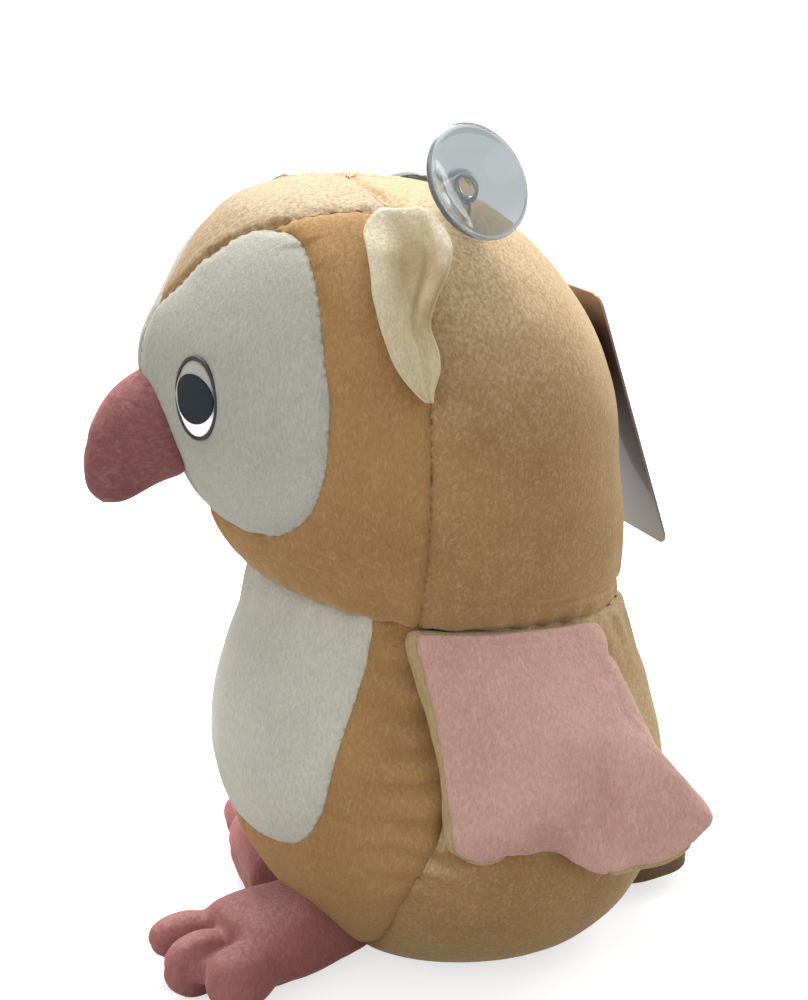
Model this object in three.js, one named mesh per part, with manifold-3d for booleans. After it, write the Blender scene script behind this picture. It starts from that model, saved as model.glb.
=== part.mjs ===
// Plush owl with suction cups, a hang tag and padded wings.
// Millimetres, +Z up. The owl faces -Y and its left side is +X.
// The origin is the centre of the flat base panel that it sits on.

import * as THREE from 'three';
import { mergeVertices } from 'three/addons/utils/BufferGeometryUtils.js';
import Module from 'manifold-3d';

const wasm = await Module();
wasm.setup();

// Fabric and clearances
const PLUSH = 2.5;
const SEAM_GAP = 0.3;
const FIT_GAP = 0.3;
const LIMB_GAP = 0.8;
const MERGE_DISTANCE = 0.0005;

// Body, from the base panel to above the neck seam
const BODY_WIDTH = 143;
const BODY_DEPTH = 149;
const BODY_CENTRE_Y = -7;
const BODY_HEIGHT = 130;
const BODY_SEAM_Y = -30;
const BELLY_WIDTH = 99;
const BELLY_LOW = 38;
const BELLY_RISE = 20;
const BELLY_TOP = BODY_HEIGHT + BELLY_RISE;

// Neck seam, a plane that drops towards the back, below the body's closed top
const NECK_DROP = 15.5;
const NECK_HEIGHT = BODY_HEIGHT - NECK_DROP;
const NECK_TILT = THREE.MathUtils.degToRad(7.7);

// Head, whose lowest ring lies below the neck seam
const HEAD_WIDTH = 147;
const HEAD_DEPTH = 152;
const HEAD_HEIGHT = 152;
const HEAD_TUCK = 16.5;
const HEAD_CENTRE_Y = -26;
const HEAD_LOW = NECK_HEIGHT - HEAD_TUCK;
const HEAD_TOP = HEAD_LOW + HEAD_HEIGHT;
const SIDE_SEAM_Y = -38;
const CROWN_HALF_WIDTH = 43;
const CROWN_TIP_Y = -101;
const CROWN_BEND_SHARES = [0.55, 0.25];

// White face: two lobes that meet on the centre line
const FACE_WIDTH = 126;
const FACE_RISE = 48;
const FACE_HEIGHT = 91;
const FACE_LOW = HEAD_LOW + FACE_RISE;
const FACE_TOP = FACE_LOW + FACE_HEIGHT;

// Beak
const BEAK_WIDTH = 31;
const BEAK_HEIGHT = 35;
const BEAK_INSET = 16.5;
const BEAK_RISE = 83;
const BEAK_REACH = 37;
const BEAK_DROOP = 28;
const BEAK_BEND_SHARE = 0.85;
const BEAK_TIP_SHARE = 0.9;
const BEAK_ROUNDNESS_SHARE = 2;

// Eyes: a clear oval dome on a backing plate with a post and a washer
const EYE_WIDTH = 19;
const EYE_HEIGHT = 25;
const EYE_DOME = 3.2;
const EYE_PLATE = 1.2;
const EYE_SINK = 1.2;
const EYE_X = 29;
const EYE_RISE = 91.5;
const EYE_Z = HEAD_LOW + EYE_RISE;
const POST_RADIUS = 2.2;
const POST_LENGTH = 10;
const WASHER_RADIUS = 7;
const WASHER_THICKNESS = 1.6;
const WASHER_SETBACK = 5;

// Ears: two fabric layers sewn along the side seam, from their top corner down to a tip
const EAR_RISE = 143.5;
const EAR_TOP_Z = HEAD_LOW + EAR_RISE;
const EAR_LENGTH = 47.5;
const EAR_WIDTH = 22.5;
const EAR_STAND_OFF = 3.6;
const EAR_LIFT = 6;
const EAR_ROOT_SHARE = -0.05;

// Wings: pink outer layer, wadding and tan lining, sewn under the neck seam
const WING_SEAM_DROP = 2.4;
const WING_FRONT_Y = -41;
const WING_SEAM_LENGTH = 64;
const WING_FRONT_DROP = 61;
const WING_SPAN = 96;
const WING_FLARE = 19;
const WING_BELLY = 5.7;
const WING_REAR_HOLLOW = 7;
const WING_SEAM_OUT = 2.4;
const WING_WADDING = 3;

// Feet
const FOOT_LENGTH = 56;
const FOOT_WIDTH = 39;
const FOOT_THICKNESS = 26;
const FOOT_FLAT_CUT = 0.5;
const TOE_LENGTH = 24;
const TOE_WIDTH = 16.5;
const FOOT_HINGE_REACH = 21;
const FOOT_ROUNDNESS_SHARE = 2.4;
const TOE_ROUNDNESS_SHARE = 2.1;
const LEFT_ANKLE_X = 13;
const LEFT_ANKLE_Y = -42;
const LEFT_FOOT_TURN = THREE.MathUtils.degToRad(16);
const RIGHT_ANKLE_X = -9;
const RIGHT_ANKLE_Y = -58;
const RIGHT_FOOT_TURN = THREE.MathUtils.degToRad(-105);
const RIGHT_HINGE_TURN = THREE.MathUtils.degToRad(-30.6);

// Tail
const TAIL_LENGTH = 51;
const TAIL_WIDTH = 32;
const TAIL_THICKNESS = 15;
const TAIL_ROOT_Y = 34;
const TAIL_HEIGHT = 10;
const TAIL_ROUNDNESS_SHARE = 2.2;

// Suction cups on their cord loops
const CUP_RADIUS = 17.5;
const CUP_LIP = 1.4;
const CUP_BELL = 6.5;
const CUP_NECK_RADIUS = 2.6;
const CUP_NECK_LENGTH = 3.6;
const CUP_KNOB_RADIUS = 5;
const CUP_KNOB_LENGTH = 4;
const CUP_WALL = 1.3;
const LOOP_CORD_RADIUS = 0.9;
const LOOP_BEND_SHARE = 0.7;
const KNOB_REST_SHARE = 0.72;
const CUP_SEAM_X = 35.9;
const CUP_SEAM_Y = -18.7;
const CUP_STAND_OFF = 0.6;
const LEFT_CUP_AIM = new THREE.Vector3(0.875, 0.267, 0.403).normalize();
const RIGHT_CUP_X = -33;
const RIGHT_CUP_Y = 3.5;
const RIGHT_CUP_CLEARANCE = 0.7;
const RIGHT_CUP_LEAN = THREE.MathUtils.degToRad(6);

// Hang tag and its plastic tack
const TAG_WIDTH = 42;
const TAG_LENGTH = 88;
const TAG_THICKNESS = 0.8;
const TAG_CORNER = 5;
const TAG_HOLE_RADIUS = 2.5;
const TAG_HOLE_DROP = 8.6;
const TAG_STAND_OFF = 1.3;
const TAG_RISE = 105;
const TAG_LEAN = THREE.MathUtils.degToRad(17.6);
const TACK_RADIUS = 0.6;
const TACK_BAR_LENGTH = 8;
const TACK_BAR_RADIUS = 0.8;
const TACK_ROOT_GAP = 0.9;

// How far the sewn-on pieces turn
const WING_TURN = THREE.MathUtils.degToRad(40);
const EAR_TURN = THREE.MathUtils.degToRad(20);
const FOOT_TURN = THREE.MathUtils.degToRad(35);
const TAIL_TURN = THREE.MathUtils.degToRad(25);
const SWEEP_STEPS = 4;

// A reach that takes every cutting block past the whole owl
const CUT_REACH = HEAD_TOP + HEAD_DEPTH + HEAD_WIDTH;

// Facets
const HEAD_COLUMNS = 28;
const HEAD_ROWS = 14;
const BODY_COLUMNS = 24;
const BODY_ROWS = 12;
const INNER_COLUMNS = 16;
const INNER_ROWS = 8;
const LIMB_COLUMNS = 11;
const LIMB_ROWS = 6;
const TOE_COLUMNS = 7;
const TOE_ROWS = 4;
const WING_STEPS = [10, 4];
const ROUND_STEPS = 20;
const CORD_STEPS = 6;
const DOME_STEPS = 6;
const EAR_STEPS = [10, 3];

// Turns of each search by halving, and the step along a sheet that finds its normal
const HALVINGS = 22;
const NORMAL_STEP_SHARE = 0.02;

// Head stations from the bottom up, spaced evenly along the spline:
// height share, half-width share, then front, widest and rear places as shares of the depth
const HEAD_STATION_SHARES = [
  [0.00, 0.80, -0.270, -0.020, 0.500],
  [0.13, 0.85, -0.290, -0.030, 0.505],
  [0.26, 0.93, -0.340, -0.045, 0.500],
  [0.40, 0.985, -0.420, -0.060, 0.480],
  [0.54, 1.00, -0.488, -0.070, 0.470],
  [0.67, 0.97, -0.487, -0.075, 0.425],
  [0.79, 0.88, -0.440, -0.080, 0.345],
  [0.895, 0.72, -0.368, -0.085, 0.235],
  [0.965, 0.48, -0.265, -0.088, 0.110],
  [1.00, 0.00, -0.090, -0.090, -0.090],
];
const HEAD_ROUNDNESS_SHARES = [1.85, 2.05];

// Body stations in the same way
const BODY_STATION_SHARES = [
  [0.00, 0.50, -0.19, 0.04, 0.27],
  [0.022, 0.64, -0.26, 0.035, 0.335],
  [0.09, 0.80, -0.335, 0.03, 0.405],
  [0.205, 0.93, -0.41, 0.01, 0.465],
  [0.34, 1.00, -0.47, -0.02, 0.495],
  [0.48, 0.99, -0.500, -0.06, 0.490],
  [0.615, 0.935, -0.497, -0.10, 0.462],
  [0.74, 0.865, -0.470, -0.125, 0.430],
  [0.85, 0.82, -0.435, -0.135, 0.402],
  [1.00, 0.78, -0.400, -0.140, 0.375],
];
const BODY_ROUNDNESS_SHARES = [2.05, 2.05];

// Right half of the white face from the top notch round to the chin,
// as shares of the half-width and of the height
const FACE_OUTLINE_SHARES = [
  [0.00, 0.79], [0.16, 0.91], [0.42, 1.00], [0.70, 0.965], [0.91, 0.80],
  [1.00, 0.56], [0.95, 0.31], [0.77, 0.11], [0.50, 0.01], [0.20, 0.00], [0.00, 0.04],
];

// Right half of the white belly from the top down, as shares in the same way
const BELLY_OUTLINE_SHARES = [
  [0.94, 1.00], [0.98, 0.70], [1.00, 0.50], [0.96, 0.33], [0.80, 0.17], [0.52, 0.05], [0.00, 0.00],
];

// Along a limb: share of its length, then half-width and half-thickness shares
const BEAK_SECTION_SHARES = [
  [0.00, 0.92, 0.90], [0.22, 1.00, 1.00], [0.45, 0.97, 0.95], [0.66, 0.86, 0.78],
  [0.84, 0.66, 0.55], [0.95, 0.40, 0.32], [1.00, 0.00, 0.00],
];
const FOOT_SECTION_SHARES = [
  [0.00, 0.62, 0.92], [0.20, 0.70, 1.02], [0.45, 0.85, 1.05], [0.70, 0.98, 1.02],
  [0.87, 0.95, 0.92], [0.96, 0.70, 0.66], [1.00, 0.00, 0.00],
];
const TOE_SECTION_SHARES = [
  [0.00, 0.70, 0.70], [0.25, 0.92, 0.92], [0.50, 1.00, 1.00], [0.75, 0.92, 0.90],
  [0.93, 0.55, 0.52], [1.00, 0.00, 0.00],
];
const TAIL_SECTION_SHARES = [
  [0.00, 0.85, 0.90], [0.30, 0.98, 1.00], [0.60, 1.00, 0.96], [0.85, 0.78, 0.70],
  [0.96, 0.45, 0.40], [1.00, 0.00, 0.00],
];
const TOE_FAN_SHARES = [-0.31, 0, 0.31];
const TOE_FAN_ANGLE = THREE.MathUtils.degToRad(13);

// Lower edge of a wing from front to rear: how far down it reaches and how far back,
// as shares of the front drop and of the span
const WING_HEM_SHARES = [
  [0.98, 0.13], [1.06, 0.22], [1.00, 0.34], [1.06, 0.46], [1.23, 0.60],
  [1.24, 0.75], [1.22, 0.91], [1.04, 1.03],
];
const WING_FLARE_SHARES = [[0.75], [0.86], [0.92], [0.98], [1.00], [1.00], [0.96], [0.90]];

// Along an ear from its top corner to its tip: share of its length, then how far its front edge
// lies ahead of the side seam and how wide it is, as shares of its width
const EAR_OUTLINE_SHARES = [
  [0.00, 0.26, 0.49], [0.084, 0.38, 0.76], [0.19, 0.48, 0.89], [0.316, 0.55, 0.81],
  [0.442, 0.58, 0.65], [0.568, 0.56, 0.52], [0.695, 0.51, 0.53], [0.821, 0.41, 0.43],
  [0.926, 0.26, 0.22], [1.00, 0.12, 0.07],
];

// Round a suction cup: radius shares and places along the knob and along the bell
const CUP_KNOB_SHARES = [[0, 0], [0.80, 0.12], [1.00, 0.40], [0.85, 0.80]];
const CUP_BACK_SHARES = [[0.30, 0.10], [0.58, 0.32], [0.82, 0.62]];
const CUP_INSIDE_SHARES = [[0.80, 0.62], [0.56, 0.32], [0.28, 0.12], [0, 0.06]];

// Value of each column of the rows at a share of the way along them
function splineRow(rows, share) {
  const last = rows.length - 1;
  const place = share * last;
  const first = Math.min(last - 1, Math.floor(place));
  const part = place - first;
  const columnAt = (index, column) => rows[THREE.MathUtils.clamp(index, 0, last)][column];
  return rows[first].map((start, column) => {
    const end = columnAt(first + 1, column);
    const leave = (end - columnAt(first - 1, column)) / 2;
    const arrive = (columnAt(first + 2, column) - start) / 2;
    const cubic = (2 * start - 2 * end + leave + arrive) * part ** 3;
    const square = (3 * end - 3 * start - 2 * leave - arrive) * part ** 2;
    return cubic + square + leave * part + start;
  });
}

function signedPower(value, power) {
  return Math.sign(value) * Math.abs(value) ** power;
}

// One horizontal ring of a stuffed form, starting at the front and turning to the left side
function stationRing(form, station, columns) {
  const [heightShare, widthShare, frontShare, middleShare, rearShare] = station;
  const depth = form.depth - 2 * form.inset;
  const halfWidth = widthShare * (form.width / 2 - form.inset);
  const low = form.bottom + form.inset;
  const high = form.top - form.inset;
  return Array.from({ length: columns }, (_, index) => {
    const angle = 2 * Math.PI * index / columns;
    const forward = Math.cos(angle);
    const roundness = form.roundness[forward > 0 ? 0 : 1];
    const reachShare = forward > 0 ? middleShare - frontShare : rearShare - middleShare;
    const sideways = signedPower(Math.sin(angle), 2 / roundness);
    const lengthways = signedPower(-forward, 2 / roundness);
    return new THREE.Vector3(
      halfWidth * sideways,
      form.centreY + depth * (middleShare + reachShare * lengthways),
      low + heightShare * (high - low),
    );
  });
}

// Closed skin through rings that turn the same way
function skinGeometry(rings) {
  const columns = rings[0].length;
  const points = rings.flat();
  const faces = [];
  for (let row = 0; row + 1 < rings.length; row += 1) {
    for (let column = 0; column < columns; column += 1) {
      const here = row * columns + column;
      const next = row * columns + (column + 1) % columns;
      faces.push(here, next, next + columns, here, next + columns, here + columns);
    }
  }
  closeEnd(points, faces, rings[0], 0, true);
  closeEnd(points, faces, rings[rings.length - 1], (rings.length - 1) * columns, false);
  return geometryOf(points, faces);
}

function closeEnd(points, faces, ring, start, isFirst) {
  const centre = ring.reduce((sum, point) => sum.add(point), new THREE.Vector3());
  const centreIndex = points.push(centre.divideScalar(ring.length)) - 1;
  ring.forEach((_, column) => {
    const here = start + column;
    const next = start + (column + 1) % ring.length;
    faces.push(...(isFirst ? [centreIndex, next, here] : [centreIndex, here, next]));
  });
}

function geometryOf(points, faces) {
  const geometry = new THREE.BufferGeometry().setFromPoints(points);
  geometry.setIndex(faces);
  return geometry;
}

// Volume inside a closed geometry, negative where its faces point in
function signedVolume(geometry) {
  const place = geometry.attributes.position;
  const corners = geometry.index.array;
  const [a, b, c] = [0, 1, 2].map(() => new THREE.Vector3());
  let total = 0;
  for (let start = 0; start < corners.length; start += 3) {
    a.fromBufferAttribute(place, corners[start]);
    b.fromBufferAttribute(place, corners[start + 1]);
    c.fromBufferAttribute(place, corners[start + 2]);
    total += a.dot(b.cross(c)) / 6;
  }
  return total;
}

// Solid that can be cut and joined, from a closed geometry
function solidOf(source) {
  const bare = source.clone();
  bare.deleteAttribute('normal');
  bare.deleteAttribute('uv');
  const geometry = mergeVertices(bare, MERGE_DISTANCE);
  const corners = Uint32Array.from(geometry.index.array);
  if (signedVolume(geometry) < 0) corners.reverse();
  return new wasm.Manifold(new wasm.Mesh({
    numProp: geometry.attributes.position.itemSize,
    vertProperties: Float32Array.from(geometry.attributes.position.array),
    triVerts: corners,
  }));
}

function geometryFromSolid(solid) {
  const { vertProperties, triVerts } = solid.getMesh();
  const geometry = new THREE.BufferGeometry();
  geometry.setAttribute('position', new THREE.BufferAttribute(vertProperties, 3));
  geometry.setIndex(new THREE.BufferAttribute(triVerts, 1));
  geometry.computeVertexNormals();
  return geometry;
}

function stuffedSolid(form, columns, rows) {
  const rings = Array.from({ length: rows + 1 }, (_, row) => (
    stationRing(form, splineRow(form.stations, row / rows), columns)
  ));
  return solidOf(skinGeometry(rings));
}

function headForm(inset) {
  return {
    inset,
    width: HEAD_WIDTH,
    depth: HEAD_DEPTH,
    centreY: HEAD_CENTRE_Y,
    bottom: HEAD_LOW,
    top: HEAD_TOP,
    stations: HEAD_STATION_SHARES,
    roundness: HEAD_ROUNDNESS_SHARES,
  };
}

function bodyForm(inset) {
  return {
    inset,
    width: BODY_WIDTH,
    depth: BODY_DEPTH,
    centreY: BODY_CENTRE_Y,
    bottom: 0,
    top: BODY_HEIGHT,
    stations: BODY_STATION_SHARES,
    roundness: BODY_ROUNDNESS_SHARES,
  };
}

// Block that fills one side of a plane square to an axis
function blockBeyond(axis, place, side) {
  const box = new THREE.BoxGeometry(CUT_REACH, CUT_REACH, CUT_REACH);
  const shift = new THREE.Vector3();
  shift[axis] = place + side * CUT_REACH / 2;
  box.translate(shift.x, shift.y, shift.z);
  return solidOf(box);
}

function blockAtNeck(side) {
  const box = new THREE.BoxGeometry(CUT_REACH, CUT_REACH, CUT_REACH);
  box.translate(0, 0, side * (CUT_REACH + SEAM_GAP) / 2);
  box.rotateX(-NECK_TILT);
  box.translate(0, 0, NECK_HEIGHT);
  return solidOf(box);
}

function neckHeightAt(y) {
  return NECK_HEIGHT - y * Math.tan(NECK_TILT);
}

// Prism through the front half, from the right half of a symmetrical outline
function frontPrism(shares, width, low, high, margin) {
  const halfWidth = width / 2 + margin;
  const height = high - low + 2 * margin;
  const points = shares.map(([across, up]) => (
    new THREE.Vector2(across * halfWidth, low - margin + up * height)
  ));
  const curve = new THREE.SplineCurve(points).getPoints(2 * points.length);
  const mirrored = curve.map((point) => new THREE.Vector2(-point.x, point.y)).reverse();
  const outline = [...curve, ...mirrored].filter((point, index, all) => (
    point.distanceTo(all[(index + 1) % all.length]) > MERGE_DISTANCE
  ));
  const prism = new THREE.ExtrudeGeometry(new THREE.Shape(outline), {
    depth: CUT_REACH,
    bevelEnabled: false,
  });
  prism.rotateX(Math.PI / 2);
  return solidOf(prism);
}

// Strip over the crown in plan, from a point between the face lobes to the side seam
function crownPrism(margin) {
  const halfWidth = CROWN_HALF_WIDTH + margin;
  const tip = CROWN_TIP_Y - margin;
  const bendX = halfWidth * CROWN_BEND_SHARES[0];
  const bendY = tip + (SIDE_SEAM_Y - tip) * CROWN_BEND_SHARES[1];
  const shape = new THREE.Shape();
  shape.moveTo(0, tip);
  shape.quadraticCurveTo(bendX, bendY, halfWidth, SIDE_SEAM_Y);
  shape.lineTo(halfWidth, 0);
  shape.lineTo(-halfWidth, 0);
  shape.lineTo(-halfWidth, SIDE_SEAM_Y);
  shape.quadraticCurveTo(-bendX, bendY, 0, tip);
  const prism = new THREE.ExtrudeGeometry(shape, {
    depth: CUT_REACH,
    bevelEnabled: false,
    curveSegments: LIMB_ROWS,
  });
  prism.translate(0, 0, (FACE_LOW + FACE_TOP) / 2);
  return solidOf(prism);
}

// Limb whose sections swell and taper along a curve; width runs along side
function limbSolid(limb) {
  const { path, side, width, thickness, sections, roundness, inset } = limb;
  const { columns = LIMB_COLUMNS, rows = LIMB_ROWS } = limb;
  const rings = Array.from({ length: rows + 1 }, (_, row) => {
    const [alongShare, widthShare, thicknessShare] = splineRow(sections, row / rows);
    const along = THREE.MathUtils.clamp(alongShare, 0, 1) * (1 - inset / path.getLength());
    const centre = path.getPointAt(along);
    const up = new THREE.Vector3().crossVectors(path.getTangentAt(along), side).normalize();
    const halfWidth = widthShare * (width / 2 - inset);
    const halfThickness = thicknessShare * (thickness / 2 - inset);
    return Array.from({ length: columns }, (_, index) => {
      const angle = 2 * Math.PI * index / columns;
      return centre.clone()
        .addScaledVector(side, halfWidth * signedPower(Math.cos(angle), 2 / roundness))
        .addScaledVector(up, halfThickness * signedPower(Math.sin(angle), 2 / roundness));
    });
  });
  return solidOf(skinGeometry(rings));
}

// Layer of a curved sheet between two offsets along its normal
function sheetLayer({ surface, inner, outer, span, steps }) {
  const [fromU, toU, fromV, toV] = span;
  const [stepsU, stepsV] = steps;
  const placeAt = (row, column) => [
    fromU + (toU - fromU) * column / stepsU,
    fromV + (toV - fromV) * row / stepsV,
  ];
  const points = [];
  for (const offset of [inner, outer]) {
    for (let row = 0; row <= stepsV; row += 1) {
      for (let column = 0; column <= stepsU; column += 1) {
        const [u, v] = placeAt(row, column);
        points.push(surface(u, v).addScaledVector(sheetNormal(surface, u, v), offset(u, v)));
      }
    }
  }
  return solidOf(geometryOf(points, sheetFaces(stepsU, stepsV)));
}

function sheetNormal(surface, u, v) {
  const across = surface(u + NORMAL_STEP_SHARE, v).sub(surface(u - NORMAL_STEP_SHARE, v));
  const along = surface(u, v + NORMAL_STEP_SHARE).sub(surface(u, v - NORMAL_STEP_SHARE));
  return across.cross(along).normalize();
}

// Two grids, one above the other, and the border between them
function sheetFaces(stepsU, stepsV) {
  const columns = stepsU + 1;
  const top = columns * (stepsV + 1);
  const faces = [];
  const quad = (a, b, c, d) => faces.push(a, b, c, a, c, d);
  for (let row = 0; row < stepsV; row += 1) {
    for (let column = 0; column < stepsU; column += 1) {
      const here = row * columns + column;
      quad(here, here + columns, here + columns + 1, here + 1);
      quad(top + here, top + here + 1, top + here + columns + 1, top + here + columns);
    }
  }
  for (const [here, next] of borderEdges(stepsU, stepsV)) {
    quad(here, next, top + next, top + here);
  }
  return faces;
}

function borderEdges(stepsU, stepsV) {
  const columns = stepsU + 1;
  const edges = [];
  for (let column = 0; column < stepsU; column += 1) {
    edges.push([column, column + 1]);
    edges.push([stepsV * columns + column + 1, stepsV * columns + column]);
  }
  for (let row = 0; row < stepsV; row += 1) {
    edges.push([row * columns + stepsU, (row + 1) * columns + stepsU]);
    edges.push([(row + 1) * columns, row * columns]);
  }
  return edges;
}

function mirroredSolid(solid) {
  const geometry = geometryFromSolid(solid);
  geometry.scale(-1, 1, 1);
  return solidOf(geometry);
}

// Solid cut clear of an obstacle all the way round its hinge
function sweptClear(solid, obstacle, hinge) {
  let kept = solid;
  for (let step = 0; step <= SWEEP_STEPS; step += 1) {
    const turn = -hinge.turn * step / SWEEP_STEPS;
    const matrix = new THREE.Matrix4()
      .makeTranslation(hinge.place)
      .multiply(new THREE.Matrix4().makeRotationAxis(hinge.axis, turn))
      .multiply(new THREE.Matrix4().makeTranslation(hinge.place.clone().negate()));
    kept = kept.subtract(obstacle.transform(matrix.elements));
  }
  return kept;
}

function cylinderAlong(from, to, radius) {
  const length = from.distanceTo(to);
  const geometry = new THREE.CylinderGeometry(radius, radius, length, CORD_STEPS * 2);
  geometry.translate(0, length / 2, 0);
  const up = new THREE.Vector3(0, 1, 0);
  const along = to.clone().sub(from).normalize();
  geometry.applyQuaternion(new THREE.Quaternion().setFromUnitVectors(up, along));
  geometry.translate(from.x, from.y, from.z);
  return solidOf(geometry);
}

// Place from front to rear of a form's front or rear skin at a height and off the centre plane
function formPlace(form, x, z, side) {
  const stationAt = (share) => splineRow(form.stations, share);
  const height = (z - form.bottom) / (form.top - form.bottom);
  let low = 0;
  let high = 1;
  for (let turn = 0; turn < HALVINGS; turn += 1) {
    const middle = (low + high) / 2;
    if (stationAt(middle)[0] < height) low = middle;
    else high = middle;
  }
  const [, widthShare, frontShare, middleShare, rearShare] = stationAt(low);
  const across = Math.min(1, Math.abs(x) / (widthShare * form.width / 2));
  const roundness = form.roundness[side < 0 ? 0 : 1];
  const reach = (1 - across ** roundness) ** (1 / roundness);
  const edgeShare = side < 0 ? frontShare : rearShare;
  return form.centreY + form.depth * (middleShare + (edgeShare - middleShare) * reach);
}

// Half-width of a form at a given height and distance from front to rear
function formHalfWidth(form, y, z) {
  let inside = 0;
  let outside = form.width;
  for (let turn = 0; turn < HALVINGS; turn += 1) {
    const x = (inside + outside) / 2;
    const front = formPlace(form, x, z, -1);
    const rear = formPlace(form, x, z, 1);
    if (y > front && y < rear) inside = x;
    else outside = x;
  }
  return inside;
}

// Height of the head's skin over a point in plan
function headHeightAt(x, y) {
  const form = headForm(0);
  let low = (HEAD_TOP + HEAD_LOW) / 2;
  let high = HEAD_TOP;
  for (let turn = 0; turn < HALVINGS; turn += 1) {
    const z = (low + high) / 2;
    if (formHalfWidth(form, y, z) > Math.abs(x)) low = z;
    else high = z;
  }
  return low;
}

function headPointAt(x, y) {
  return new THREE.Vector3(x, y, headHeightAt(x, y));
}

// Way out of the head's skin over a point in plan
function headNormalAt(x, y) {
  const across = headPointAt(x + PLUSH, y).sub(headPointAt(x - PLUSH, y));
  const along = headPointAt(x, y + PLUSH).sub(headPointAt(x, y - PLUSH));
  return across.cross(along).normalize();
}

const outerHead = stuffedSolid(headForm(0), HEAD_COLUMNS, HEAD_ROWS);
const hollowHead = stuffedSolid(headForm(PLUSH), INNER_COLUMNS, INNER_ROWS);
const headKeepOut = stuffedSolid(headForm(-FIT_GAP), HEAD_COLUMNS, HEAD_ROWS);
const headLimbKeepOut = stuffedSolid(headForm(-LIMB_GAP), HEAD_COLUMNS, HEAD_ROWS);
const outerBody = stuffedSolid(bodyForm(0), BODY_COLUMNS, BODY_ROWS);
const hollowBody = stuffedSolid(bodyForm(PLUSH), INNER_COLUMNS, INNER_ROWS);
const bodyKeepOut = stuffedSolid(bodyForm(-LIMB_GAP), BODY_COLUMNS, BODY_ROWS);
const aboveNeck = blockAtNeck(1);
const belowNeck = blockAtNeck(-1);
const leftHalf = blockBeyond('x', SEAM_GAP / 2, 1);
const rightHalf = blockBeyond('x', -SEAM_GAP / 2, -1);
const aboveFloor = blockBeyond('z', 0, 1);

const WHITE = { color: 0xadada1, roughness: 0.95, metalness: 0 };
const TAN = { color: 0xa6875c, roughness: 0.95, metalness: 0 };
const CREAM = { color: 0xd2c49f, roughness: 0.95, metalness: 0 };
const PINK = { color: 0xbc9586, roughness: 0.95, metalness: 0 };
const ROSE = { color: 0x9c6463, roughness: 0.95, metalness: 0 };
const FILL = { color: 0xe8e6e0, roughness: 1, metalness: 0 };
const BLACK = { color: 0x1c1c1e, roughness: 0.3, metalness: 0 };
const CLEAR = { color: 0xc8d0d2, roughness: 0.1, metalness: 0, transparent: true, opacity: 0.4 };
const CORD = { color: 0xd8d4ca, roughness: 0.7, metalness: 0 };
const CARD = { color: 0x7a6a63, roughness: 0.6, metalness: 0 };

const owl = new THREE.Group();

function addPiece(name, geometry, material, parent = owl) {
  const mesh = new THREE.Mesh(geometry, new THREE.MeshStandardMaterial(material));
  mesh.name = name;
  parent.add(mesh);
  return mesh;
}

function addSolid(name, solid, material) {
  return addPiece(name, geometryFromSolid(solid), material);
}

// Frame of an eye: origin at the bottom of its dent in the plush, +Z straight out of the face
function eyeMatrix(side) {
  const skinPoint = (x, z) => new THREE.Vector3(side * x, formPlace(headForm(0), x, z, -1), z);
  const halfWidth = side * EYE_WIDTH / 2;
  const halfHeight = EYE_HEIGHT / 2;
  const across = skinPoint(EYE_X + halfWidth, EYE_Z)
    .sub(skinPoint(EYE_X - halfWidth, EYE_Z))
    .normalize();
  const rise = skinPoint(EYE_X, EYE_Z + halfHeight).sub(skinPoint(EYE_X, EYE_Z - halfHeight));
  const outward = across.clone().cross(rise).normalize();
  const up = outward.clone().cross(across);
  return new THREE.Matrix4()
    .makeBasis(across, up, outward)
    .setPosition(skinPoint(EYE_X, EYE_Z).addScaledVector(outward, -EYE_SINK));
}

function eyeCylinder(matrix, radius, fromDepth, toDepth) {
  const length = toDepth - fromDepth;
  const geometry = new THREE.CylinderGeometry(radius, radius, length, CORD_STEPS * 2);
  geometry.rotateX(Math.PI / 2);
  geometry.translate(0, 0, (fromDepth + toDepth) / 2);
  geometry.applyMatrix4(matrix);
  return solidOf(geometry);
}

// Oval plate square to the eye's axis
function eyeOval(matrix, margin, fromDepth, toDepth) {
  const radius = EYE_WIDTH / 2 + margin;
  const plate = new THREE.CylinderGeometry(radius, radius, toDepth - fromDepth, ROUND_STEPS);
  plate.rotateX(Math.PI / 2);
  plate.scale(1, (EYE_HEIGHT / 2 + margin) / radius, 1);
  plate.translate(0, 0, (fromDepth + toDepth) / 2);
  plate.applyMatrix4(matrix);
  return solidOf(plate);
}

function eyeLens(matrix) {
  const arc = Array.from({ length: DOME_STEPS + 1 }, (_, index) => {
    const angle = index / DOME_STEPS * Math.PI / 2;
    return new THREE.Vector2(EYE_WIDTH / 2 * Math.cos(angle), EYE_DOME * Math.sin(angle));
  });
  arc[arc.length - 1].x = 0;
  const geometry = new THREE.LatheGeometry([new THREE.Vector2(0, 0), ...arc], ROUND_STEPS);
  geometry.rotateX(Math.PI / 2);
  geometry.scale(1, EYE_HEIGHT / EYE_WIDTH, 1);
  geometry.translate(0, 0, EYE_PLATE + 2 * FIT_GAP);
  geometry.applyMatrix4(matrix);
  return solidOf(geometry);
}

function eyeBacking(matrix) {
  const plate = eyeOval(matrix, 0, FIT_GAP, FIT_GAP + EYE_PLATE);
  return plate.add(eyeCylinder(matrix, POST_RADIUS, -POST_LENGTH, FIT_GAP + EYE_PLATE / 2));
}

function eyeWasher(matrix) {
  const far = -WASHER_SETBACK - WASHER_THICKNESS;
  const disc = eyeCylinder(matrix, WASHER_RADIUS, far, -WASHER_SETBACK);
  const bore = eyeCylinder(matrix, POST_RADIUS + FIT_GAP, far - WASHER_RADIUS, WASHER_RADIUS);
  return disc.subtract(bore);
}

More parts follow.
